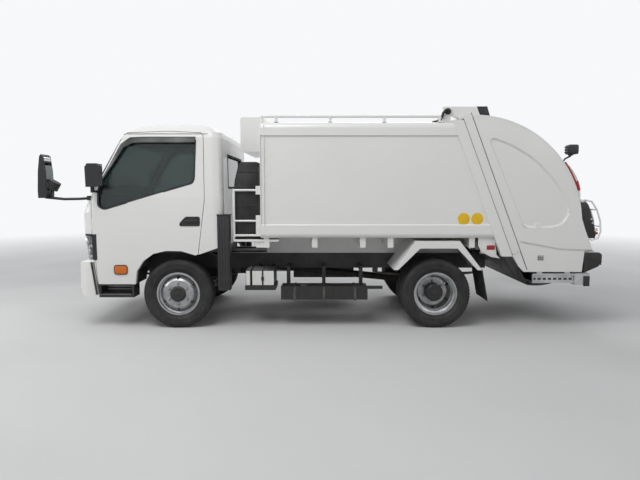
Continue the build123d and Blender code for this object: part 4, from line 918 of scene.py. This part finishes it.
@single("cab", "black_plastic")
def dashboard_trim(bm):
    for y, radius in ((-530, 44), (-410, 44)):
        lathe(bm, (CAB_FRONT - 378, y, 1402), (
            (radius, 0), (radius, 10), (radius - 5, 12), (radius - 6, 4), (0.001, 3), (0.001, 0),
        ), 32, axis=(-0.5, 0, 0.87))
    box(bm, (CAB_FRONT - 428, CAB_FRONT - 250), (-620, -320), (1392, 1450), 16, 3)
    for y in (-60, 0, 60):
        box(bm, (CAB_FRONT - 418, CAB_FRONT - 400), (y - 22, y + 22), (1300, 1330), 4)
    box(bm, (CAB_FRONT - 424, CAB_FRONT - 398), (-120, 120), (1236, 1286), 5)


DOOR_PANE = rounded_outline([(1049, 1546), (1111, 1546), (1111, 1768), (1049, 1768)], 14)
open_step("mirrors", "Mirror panes", "Mirror panes with their rims")


@pair("door", "mirror_glass", slot="chrome_rod")
def mirror_pane(bm):
    plate(bm, [(CAB_FRONT - 305.5, y, z) for y, z in DOOR_PANE], (-1.5, 0, 0))


@pair("door", "black_plastic")
def mirror_rim(bm):
    runs = [[(CAB_FRONT - 305, y, z) for y, z in grown_outline(DOOR_PANE, grow)] for grow in (-1, 5)]
    strip(bm, runs, (-5, 0, 0), closed=True)


@single("cab", "mirror_glass", slot="chrome_rod")
def front_mirror_pane(bm):
    rows = []
    for dx, z in ((-91.5, 1500), (-83.5, 1700), (-66.5, 1845)):
        rows.append([(3150 + dx, y, z) for y in (952, 1000, 1050, 1098)])
    push_out(bm, sheet(bm, rows), (-1.5, 0, 0))


# ---- Seats ----

def soft_block(bm, x, y, z, tilt=0):
    """Block of foam with rounded, pulled-in corners, tilted about its lower rear edge."""
    box(bm, x, y, z)
    bmesh.ops.subdivide_edges(bm, edges=list(bm.edges), cuts=5, use_grid_fill=True)
    middle = at(sum(x) / 2, sum(y) / 2, sum(z) / 2)
    half = Vector((x[1] - x[0], y[1] - y[0], z[1] - z[0])) * MM / 2
    thin = min(range(3), key=lambda axis: half[axis])
    wide = [axis for axis in range(3) if axis != thin]
    for vert in bm.verts:
        local = vert.co - middle
        share = [abs(local[axis] / half[axis]) for axis in range(3)]
        local[thin] *= 1 - 0.42 * max(share[axis] for axis in wide) ** 4
        corner = share[wide[0]] * share[wide[1]]
        for axis in wide:
            local[axis] *= 1 - 0.06 * corner ** 2 - 0.03 * share[thin]
        vert.co = middle + local
    if tilt:
        pivot = at(x[0], 0, z[0])
        bmesh.ops.rotate(bm, cent=pivot, matrix=Matrix.Rotation(math.radians(tilt), 3, "Y"), verts=bm.verts)


def evaluated(piece):
    """The piece as its modifiers leave it."""
    return piece.evaluated_get(bpy.context.evaluated_depsgraph_get())


def inflate(piece, limit):
    """Let the cushion swell under cloth pressure, no point moving further than limit in metres."""
    scene = bpy.context.scene
    start = [vert.co.copy() for vert in piece.data.vertices]
    cloth = piece.modifiers.new("cloth", "CLOTH")
    cloth.settings.use_pressure = True
    cloth.settings.uniform_pressure_force = 4
    cloth.settings.effector_weights.gravity = 0
    cloth.settings.mass = 0.3
    for number in range(1, 21):
        scene.frame_set(number)
    swollen = [vert.co.copy() for vert in evaluated(piece).data.vertices]
    piece.modifiers.remove(cloth)
    for vert, before, after in zip(piece.data.vertices, start, swollen):
        way = after - before
        if way.length > limit:
            way = way.normalized() * limit
        vert.co = before + way
    scene.frame_set(1)


SEAT_Y = 600
# Cushions: name, limits along X, Y and Z, tilt in degrees, how far they swell in metres
CUSHIONS = (
    ("seat_cushion", (1490, 1950), (-232, 232), (1012, 1118), 0, 0.014),
    ("seat_back", (1436, 1520), (-218, 218), (1120, 1590), -9.5, 0.012),
    ("head_rest", (1392, 1452), (-130, 130), (1612, 1722), -9.5, 0.006),
)


open_step("seats", "Padded seats", "Padded cushions, backs and head rests on moulded bases")


@note
def cushions():
    """Cushion, back and head rest of both seats."""
    for name, x, y, z, tilt, limit in CUSHIONS:
        for side, way in SIDES:
            bm = bmesh.new()
            soft_block(bm, x, (y[0] + way * SEAT_Y, y[1] + way * SEAT_Y), z, tilt)
            piece = finish(bm, name + "_" + side, "cab", "seat_fabric", replaced=("seats",), angle=60)
            remesh = piece.modifiers.new("remesh", "REMESH")
            remesh.mode = "VOXEL"
            remesh.voxel_size = 0.006
            shaped = bpy.data.meshes.new_from_object(evaluated(piece))
            piece.modifiers.remove(remesh)
            shaped.name = piece.name
            piece.data = shaped
            if not shaped.materials:
                shaped.materials.append(LOOKS["seat_fabric"])
            inflate(piece, limit)
            shaped.shade_smooth()


@both("cab", "black_plastic")
def seat_bases(bm):
    box(bm, (1570, 1870), (SEAT_Y - 160, SEAT_Y + 160), (881, 960), 14, 3)
    box(bm, (1500, 1930), (SEAT_Y - 222, SEAT_Y + 222), (958, 1012), 16, 3)
    for y in (SEAT_Y - 110, SEAT_Y + 110):
        box(bm, (1540, 1900), (y - 18, y + 18), (880.5, 900), 4)
    for y in (SEAT_Y - 60, SEAT_Y + 60):
        tube(bm, ((1444, y, 1580), (1420, y, 1640)), 6, 10)


# ---- Container and chassis ----

open_step("container", "Container fittings",
          "Discs, seams, rail clamps, pipes, covers, guard floor, lamp brackets and reflectors")


@single("chassis", "yellow", slot="lamp_red")
def yellow_discs(bm):
    for x in (-1337, -1482):
        lathe(bm, (x, 986, 1193), ((0.001, -0.6), (0.001, 2.2), (61, 2.2), (65, 1), (65, -0.6)), 64)


@both("chassis", "white_paint")
def container_seams(bm):
    for z in (1122, 2079):
        inner = 1.6 if z > 2000 else -1.6
        box(bm, (-1150, 836), (999.6, 1001.6), (z - 1.5 + inner, z + 1.5 + inner), 0.6, 1)
    for x in (838, 800):
        box(bm, (x - 4, x + 3), (985, 1003), (1040, 2190), 1.5, 1)


@both("chassis", "white_paint")
def roof_rail_clamps(bm):
    for x in (670, 95, -480, -1070):
        box(bm, (x - 24, x + 24), (918, 962), (2220.4, 2228), 2.5)
        lathe(bm, (x, 940, 2266), ((15.5, -8), (19.5, -6), (19.5, 6), (15.5, 8)), 24, axis=UP)
        for dx in (-17, 17):
            rod(bm, (x + dx, 924, 2227), (x + dx, 924, 2232), 5, 6)
    lathe(bm, (820, 940, 2280), ((15.2, -8), (18.5, -6), (18.5, 6), (15.2, 8)), 24, axis=AHEAD)


@both("chassis", "rubber")
def post_seals(bm):
    parting_strip(bm, (-1.5, 15), (20, 780, 1570), 0.5, 1.8)


@both("chassis", "rubber")
def hinge_pipes(bm):
    for y, reach in ((884, 0), (856, 26)):
        tube(bm, ((-1010 - reach, y, 2226), (-1062 - reach, y, 2238), (-1100, y + 4, 2280 - reach),
                      (-1124, y + 6, 2330), (-1152, y + 4, 2358), (-1176, y + 2, 2346)), 13, 16)


@both("chassis", "black_paint")
def drain_covers(bm):
    side_plate(bm, ((-1552, 808.5), (-1800, 808.5), (-1800, 649)), 478, 404)


@single("chassis", "rubber")
def hose_cover(bm):
    side_plate(bm, (
        (843, 970), (843, 1760), (884, 1804), (1056, 1804), (1084, 1776), (1126, 1610), (1132, 1560),
        (1132, 970),
    ), 560, 345, 10)
    for z in (1130, 1330, 1530, 1700):
        box(bm, (846, 1096 if z > 1600 else 1126), (902, 909), (z - 9, z + 9), 3)
    box(bm, (846, 874), (902, 912), (985, 1755), 3)


@single("chassis", "white_paint")
def guard_floor(bm):
    box(bm, (648, 1142), (560, 958), (944, 968), 4)
    box(bm, (1128, 1142), (560, 958), (944, 990), 3)
    box(bm, (880, 920), (600, 940), (900, 946), 3)
    side_plate(bm, ((760, 946), (930, 946), (890, 880), (770, 880)), 938, 8)


@both("chassis", "white_paint")
def side_lamp_brackets(bm):
    side_plate(bm, (
        (-1509, 986), (-1509, 905), (-1546, 832), (-1652, 778), (-1752, 762), (-1712, 800), (-1684, 986),
    ), 946, 8, 2)


@both("chassis", "lamp_red")
def side_reflectors(bm):
    box(bm, (-1689, -1601), (953.5, 960), (858, 905), 3, 3)


# Where the bulge of the rear corners starts on the back arc and how far it runs, in degrees
BULGE_START, BULGE_SPAN = 13.6, 21.8


def corner_skin(bm, first, last, stand, in_y, side):
    """Bulging cover over the tailgate's rear corner, between two angles on its back arc."""
    rows = []
    for index in range(9):
        degrees = first + (last - first) * index / 8
        share = min(max((degrees - BULGE_START) / BULGE_SPAN, 0), 1)
        lift = 5 + stand * math.sin(math.pi * share) ** 0.6
        rows.append([])
        for y, part in ((in_y, 1), (880, 1), (side - 30, 1), (side - 9, 0.9), (side, 0.62), (side, 0.1)):
            x, z = arc_point(ARC_R + 0.8 + lift * part, degrees)
            rows[-1].append((x, y, z))
    skin(bm, rows, 4)


# Rear face of the lower lamps: its top and bottom points, the way it looks and one lens's profile
FACE_TOP, FACE_LOW = Vector((-2672, 1350)), Vector((-2770, 1040))
FACING = (-0.954, 0, 0.301)
LENS_PROFILE = ((0.001, 0), (42, 0), (42, 14), (36, 22), (0.001, 27))


def face_round(bm, share, out, profile):
    """Round form on the lower lamps' rear face, at a share of its way down."""
    point = FACE_TOP.lerp(FACE_LOW, share)
    lathe(bm, (point.x + FACING[0] * out, 895, point.y + FACING[2] * out), profile, 40, axis=FACING)


open_step("tail", "Tailgate fittings",
          "Bead, seals, rivets, lamps, guards, buffers, latches, covers and step grating")


@both("tailgate", "white_paint")
def tail_panel_bevel(bm):
    shape = rounded_outline(INSET_PANEL, 70)
    inner = [(x, TAIL_HALF - 13.6, z) for x, z in grown_outline(shape, -20)]
    outer = [(x, TAIL_HALF + 0.4, z) for x, z in grown_outline(shape, 2)]
    strip(bm, (inner, outer), (0, -6, 0), closed=True)


@both("tailgate", "white_paint")
def tail_edge_bead(bm):
    for radius, lift in ((1168, 3), (1146, 1.5)):
        arc_strip(bm, (radius - 4, radius + 4), range(6, 95, 3), TAIL_HALF - 0.5, lift)


@both("tailgate", "white_paint", replaced=("tail_lamps",))
def tail_lamp_housings(bm):
    corner_skin(bm, BULGE_START, 35.4, 38, 802, 989)


@both("tailgate", "pale_lens", slot="lamp_red")
def tail_lens_white(bm):
    corner_skin(bm, 23.6, 34.8, 42, 806, 991)


@both("tailgate", "lamp_red")
def tail_lens_red(bm):
    corner_skin(bm, 18.6, 23.6, 43, 806, 991.6)
    turns = [19 + 16.2 * index / 8 for index in range(9)]
    arc_strip(bm, (ARC_R + 1, ARC_R + 17), turns, 990.8, 2)
    face_round(bm, 0.14, -4, LENS_PROFILE)
    box(bm, (-2784, -2752), (950, 987), (1024, 1052), 6, 3)


@both("tailgate", "amber", slot="lamp_red")
def tail_lens_amber(bm):
    face_round(bm, 0.5, -4, LENS_PROFILE)


@both("tailgate", "pale_lens", slot="lamp_red")
def tail_lens_clear(bm):
    face_round(bm, 0.86, -4, LENS_PROFILE)
    box(bm, (-2782, -2746), (955, 987), (1060, 1092), 6, 3)
    for x, z in ((-2722, 1150), (-2706, 1190)):
        box(bm, (x - 12, x + 8), (972, 986.5), (z - 8, z + 8), 3)


@both("tailgate", "black_plastic")
def tail_lamp_clusters(bm):
    side_plate(bm, (
        (-2582, 1368), (-2598, 1279), (-2606, 1197), (-2647, 1075), (-2686, 984), (-2758, 984), (-2770, 1040),
        (-2672, 1350), (-2646, 1374),
    ), 802, 180, 7)
    for share in (0.14, 0.5, 0.86):
        face_round(bm, share, -6, ((0.001, 0), (54, 0), (54, 12), (46, 12), (44, 7), (0.001, 7)))


@both("tailgate", "white_paint")
def lamp_guards(bm):
    for y in (826, 976):
        tube(bm, ((-2592, y, 1382), (-2630, y, 1396), (-2706, y, 1380), (-2766, y, 1290), (-2806, y, 1170),
                      (-2816, y, 1060), (-2790, y, 985), (-2724, y, 966), (-2680, y, 984)), 9, 12)
    for x, z in ((-2766, 1290), (-2811, 1112)):
        rod(bm, (x, 826, z), (x, 976, z), 7, 12)


@both("tailgate", "rubber")
def strip_seals(bm):
    parting_strip(bm, (99, 107), (-8, 500, 1000, 1780), -0.5, 2)


@both("tailgate", "black_plastic")
def work_lamps(bm):
    box(bm, (-2546, -2440), (868, 984), (1882, 1984), 16, 3)
    for z in (1906, 1932, 1958):
        box(bm, (-2444, -2430), (880, 972), (z - 5, z + 5), 2)
    box(bm, (-2500, -2462), (900, 952), (1868, 1886), 4)
    tube(bm, ((-2378, 966, 1792), (-2412, 956, 1834), (-2478, 926, 1862), (-2482, 926, 1880)), 9)


@both("tailgate", "lamp")
def work_lamp_lenses(bm):
    outline = rounded_outline([(882, 1896), (970, 1896), (970, 1970), (882, 1970)], 12)
    plate(bm, [(-2545, y, z) for y, z in outline], (-4, 0, 0), 2)


@both("tailgate", "rubber", replaced=("corner_buffers",))
def corner_buffer_blocks(bm):
    back = ((-2816, 829), (-2838, 806), (-2838, 716), (-2800, 676))
    side_plate(bm, ((-2645.5, 607), (-2645.5, 829), *back), 952, 36, 5)
    side_plate(bm, ((-2645.5, 607), (-2647, 705), (-2693, 765), (-2730, 829), *back), 760, 192, 5)
    for z in (700, 740, 780):
        box(bm, (-2842, -2832), (780, 980), (z - 6, z + 6), 3)


@both("tailgate", "pale_lens", slot="lamp_red")
def buffer_lamps(bm):
    made = bmesh.ops.create_uvsphere(bm, u_segments=40, v_segments=20, radius=1)["verts"]
    bmesh.ops.transform(bm, matrix=Matrix.Translation(at(-2712, 930, 830)) @ Matrix.Diagonal(
        (0.068, 0.040, 0.034, 1)), verts=made)
    bmesh.ops.bisect_plane(bm, geom=list(bm.verts) + list(bm.edges) + list(bm.faces), plane_co=at(0, 0, 829),
                           plane_no=(0, 0, -1), clear_outer=True)
    bmesh.ops.holes_fill(bm, edges=[edge for edge in bm.edges if edge.is_boundary])
    box(bm, (-2786, -2640), (886, 974), (827, 836), 3)


@both("tailgate", "steel")
def tail_latches(bm):
    box(bm, (-2206, -2142), (988.5, 992.5), (746, 800), 3)
    box(bm, (-2200, -2150), (991, 1003), (776, 794), 5, 3)
    box(bm, (-2196, -2154), (991, 998), (752, 768), 3)


@both("tailgate", "rubber")
def step_end_blocks(bm):
    box(bm, (-2716, -2650), (978, 990), (463, 574), 5, 3)
    for x in range(-2530, -2130, 56):
        box(bm, (x, x + 34), (965.5, 968.5), (530, 552), 1.2, 1)


@both("tailgate", "white_paint")
def blade_pin_caps(bm):
    profile = ((0.001, 0), (36, 0), (36, 6), (31.5, 9.6), (12, 10.2), (0.001, 10.2))
    lathe(bm, (-2140, TAIL_HALF - 14.5, 1120), profile)


@both("tailgate", "black_plastic")
def hinge_covers(bm):
    side_plate(bm, ((-1490, 2401), (-1603, 2401), (-1644, 2267), (-1540, 2267)), 761, 78, 3)
    lathe(bm, (-1175, 859, 2345), ((0.001, 0), (34, 0), (34, 6), (28, 11), (0.001, 12)), 32)


@single("tailgate", "alu")
def step_grating(bm):
    for y in range(-950, 951, 38):
        box(bm, (-2712, -2562), (y, y + 14), (598, 604), 1.5, 1)
    for x in (-2700, -2640, -2580):
        box(bm, (x - 5, x + 5), (-972, 972), (597.5, 602), 1, 1)


@both("tailgate", "white_paint")
def strip_rivets(bm):
    for along in range(60, 1359, 118):
        for behind in (22, 84):
            x, z = on_parting(along, behind)
            lathe(bm, (x, 998, z), ((0.001, 0), (6, 0), (6, 1.5), (3.5, 3.8), (0.001, 4.2)), 12)


open_step("chassis", "Chassis fittings", "Tank straps, and the battery box's plates and strap")


@single("chassis", "spring_steel")
def tank_straps(bm):
    for x in (-180, 160, 480):
        for (y0, z0), (y1, z1) in zip(((636, 442), (944, 442), (944, 302), (636, 302)),
                                      ((944, 446), (948, 302), (636, 298), (632, 442))):
            box(bm, (x - 14, x + 14), (min(y0, y1), max(y0, y1)), (min(z0, z1), max(z0, z1)), 1.5, 1)
    lathe(bm, (380, 860, 440), ((0.001, 0), (44, 0), (44, 16), (38, 22), (0.001, 22)), 32, axis=UP)


@single("chassis", "plate_white", slot="alu")
def battery_box_plates(bm):
    box(bm, (706, 940), (951.5, 954), (470, 626), 2, 1)
    box(bm, (964, 1006), (951.5, 954), (470, 626), 2, 1)


@single("chassis", "rubber")
def battery_strap(bm):
    box(bm, (818, 836), (954, 957), (462, 636), 1, 1)
    box(bm, (818, 836), (610, 957), (632.5, 636), 1, 1)
    box(bm, (812, 842), (956, 962), (520, 560), 2)


# ---- Stage ----

# Place in metres, pitch down in degrees and focal length in pixels of the picture
CAMERA_PLACE = (0.0505, 6.931, 1.502)
CAMERA_PITCH = 5.15
FOCAL_PX = 555
# Lights: name, place and size in metres, power in watts
LIGHTS = (
    ("key", (2.4, 4.8, 7.2), 4.5, 330),
    ("fill", (-5.6, 5.2, 4.6), 5, 70),
    ("front", (6.6, 1.6, 3.6), 3.5, 110),
    ("rim", (-1.5, -5.6, 5.8), 5, 170),
)
BACKGROUND = (0.93, 0.94, 0.955)
# Distances from the middle in metres between which the floor takes the background's colour
FLOOR_FADE = (4.5, 15)
PICTURE_WIDTH = 640
SENSOR_WIDTH = 36


def floor_surface():
    """Pale floor that runs into the background's colour away from the truck."""
    look = surface("floor_finish", tuple(sizes().floor_colour), 0.75, shade=0.97, patch=0.8, grain=90)
    distance = look.add("VectorMath", "Value", {0: look.place}, operation="LENGTH")
    shown = look.join("MULTIPLY", look.spread(distance, 0, 1, *FLOOR_FADE), look.seen_rays())
    plain = look.add("Emission", 0, {"Color": (*BACKGROUND, 1)})
    mixed = look.add("MixShader", 0, {0: shown, 1: look.shader.outputs[0], 2: plain})
    look.put(look.nodes["Material Output"].inputs, {"Surface": mixed})
    return look.made


def place_object(name, data, place=(0, 0, 0), turn=(0, 0, 0)):
    """New object in the scene."""
    made = bpy.data.objects.new(name, data)
    bpy.context.scene.collection.objects.link(made)
    made.location = place
    made.rotation_euler = turn
    return made


open_step("stage", "Floor, lights and camera", "Floor, world, lights and the camera")


@note
def build_stage():
    """Everything round the truck that isn't exported."""
    scene = bpy.context.scene
    bm = bmesh.new()
    bmesh.ops.create_grid(bm, x_segments=2, y_segments=2, size=40)
    mesh = bpy.data.meshes.new("floor")
    bm.to_mesh(mesh)
    bm.free()
    mesh.materials.append(floor_surface())
    floor = place_object("floor", mesh)
    world = bpy.data.worlds.new("studio")
    scene.world = world
    world.use_nodes = True
    tree = Tree(world.node_tree)
    tree.nodes.clear()
    dim = tree.add("Background", 0, {"Color": (0.95, 0.97, 1, 1), "Strength": 0.25})
    bright = tree.add("Background", 0, {"Color": (*BACKGROUND, 1), "Strength": 1})
    mixed = tree.add("MixShader", 0, {0: tree.seen_rays(), 1: dim, 2: bright})
    tree.put(tree.nodes.new("ShaderNodeOutputWorld").inputs, {"Surface": mixed})
    for name, place, size, power in LIGHTS:
        lamp = bpy.data.lights.new(name, "AREA")
        lamp.size = size
        lamp.energy = power
        way = Vector((0, 0, 1)) - Vector(place)
        place_object(name, lamp, place, way.to_track_quat("-Z", "Y").to_euler())
    eye = bpy.data.cameras.new("camera")
    eye.sensor_fit = "HORIZONTAL"
    eye.sensor_width = SENSOR_WIDTH
    eye.lens = FOCAL_PX / PICTURE_WIDTH * SENSOR_WIDTH
    eye.dof.use_dof = False
    eye.clip_end = 200
    scene.camera = place_object("camera", eye, CAMERA_PLACE, (math.radians(90 - CAMERA_PITCH), 0, math.pi))
    scene.view_settings.view_transform = "Standard"


# ---- Add-on ----

class TruckSizes(bpy.types.PropertyGroup):
    """Sizes and colours that a user of the truck may change."""
    paint_colour: FloatVectorProperty(name="Paint", description="Colour of the bodywork", subtype="COLOR",
                                      default=(0.80, 0.80, 0.78), min=0, max=1)
    floor_colour: FloatVectorProperty(name="Floor", description="Colour of the studio floor", subtype="COLOR",
                                      default=(0.66, 0.66, 0.66), min=0, max=1)
    tread_blocks: IntProperty(name="Tread blocks", description="Tread blocks round one tyre",
                              default=64, min=24, max=90)
    nut_size: FloatProperty(name="Wheel nuts", description="Width across a wheel nut's washer",
                            default=0.040, min=0.02, max=0.06, unit="LENGTH")
    seal_width: FloatProperty(name="Window seals", description="How far a seal covers the glass",
                              default=0.016, min=0.004, max=0.04, unit="LENGTH")


def make_operator(key, label, about, makers):
    """Operator class that runs one step's functions in order."""
    def execute(self, context):
        for work in makers:
            work()
        return {"FINISHED"}
    return type("REFUSE_OT_" + key, (bpy.types.Operator,), {
        "bl_idname": "refuse_truck." + key, "bl_label": label, "__doc__": about, "execute": execute,
    })


OPERATORS = [make_operator(*row) for row in STEPS]


class REFUSE_PT_panel(bpy.types.Panel):
    """Lists the truck's sizes and steps in the sidebar."""
    bl_label = "Refuse truck"
    bl_space_type = "VIEW_3D"
    bl_region_type = "UI"
    bl_category = "Refuse truck"

    def draw(self, context):
        for name in TruckSizes.__annotations__:
            self.layout.prop(context.scene.refuse_truck, name)
        for row in STEPS:
            self.layout.operator("refuse_truck." + row[0])


CLASSES = (TruckSizes, *OPERATORS, REFUSE_PT_panel)


def register():
    for kind in CLASSES:
        bpy.utils.register_class(kind)
    bpy.types.Scene.refuse_truck = PointerProperty(type=TruckSizes)


def unregister():
    del bpy.types.Scene.refuse_truck
    for kind in reversed(CLASSES):
        bpy.utils.unregister_class(kind)


def main():
    """Build everything in order and note the model's size before and after."""
    for name in ("Cube", "Light", "Camera"):
        if name in bpy.data.objects:
            bpy.data.objects.remove(bpy.data.objects[name])
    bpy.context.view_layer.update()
    register()
    for row in STEPS:
        getattr(bpy.ops.refuse_truck, row[0])()


if __name__ == "__main__":
    main()
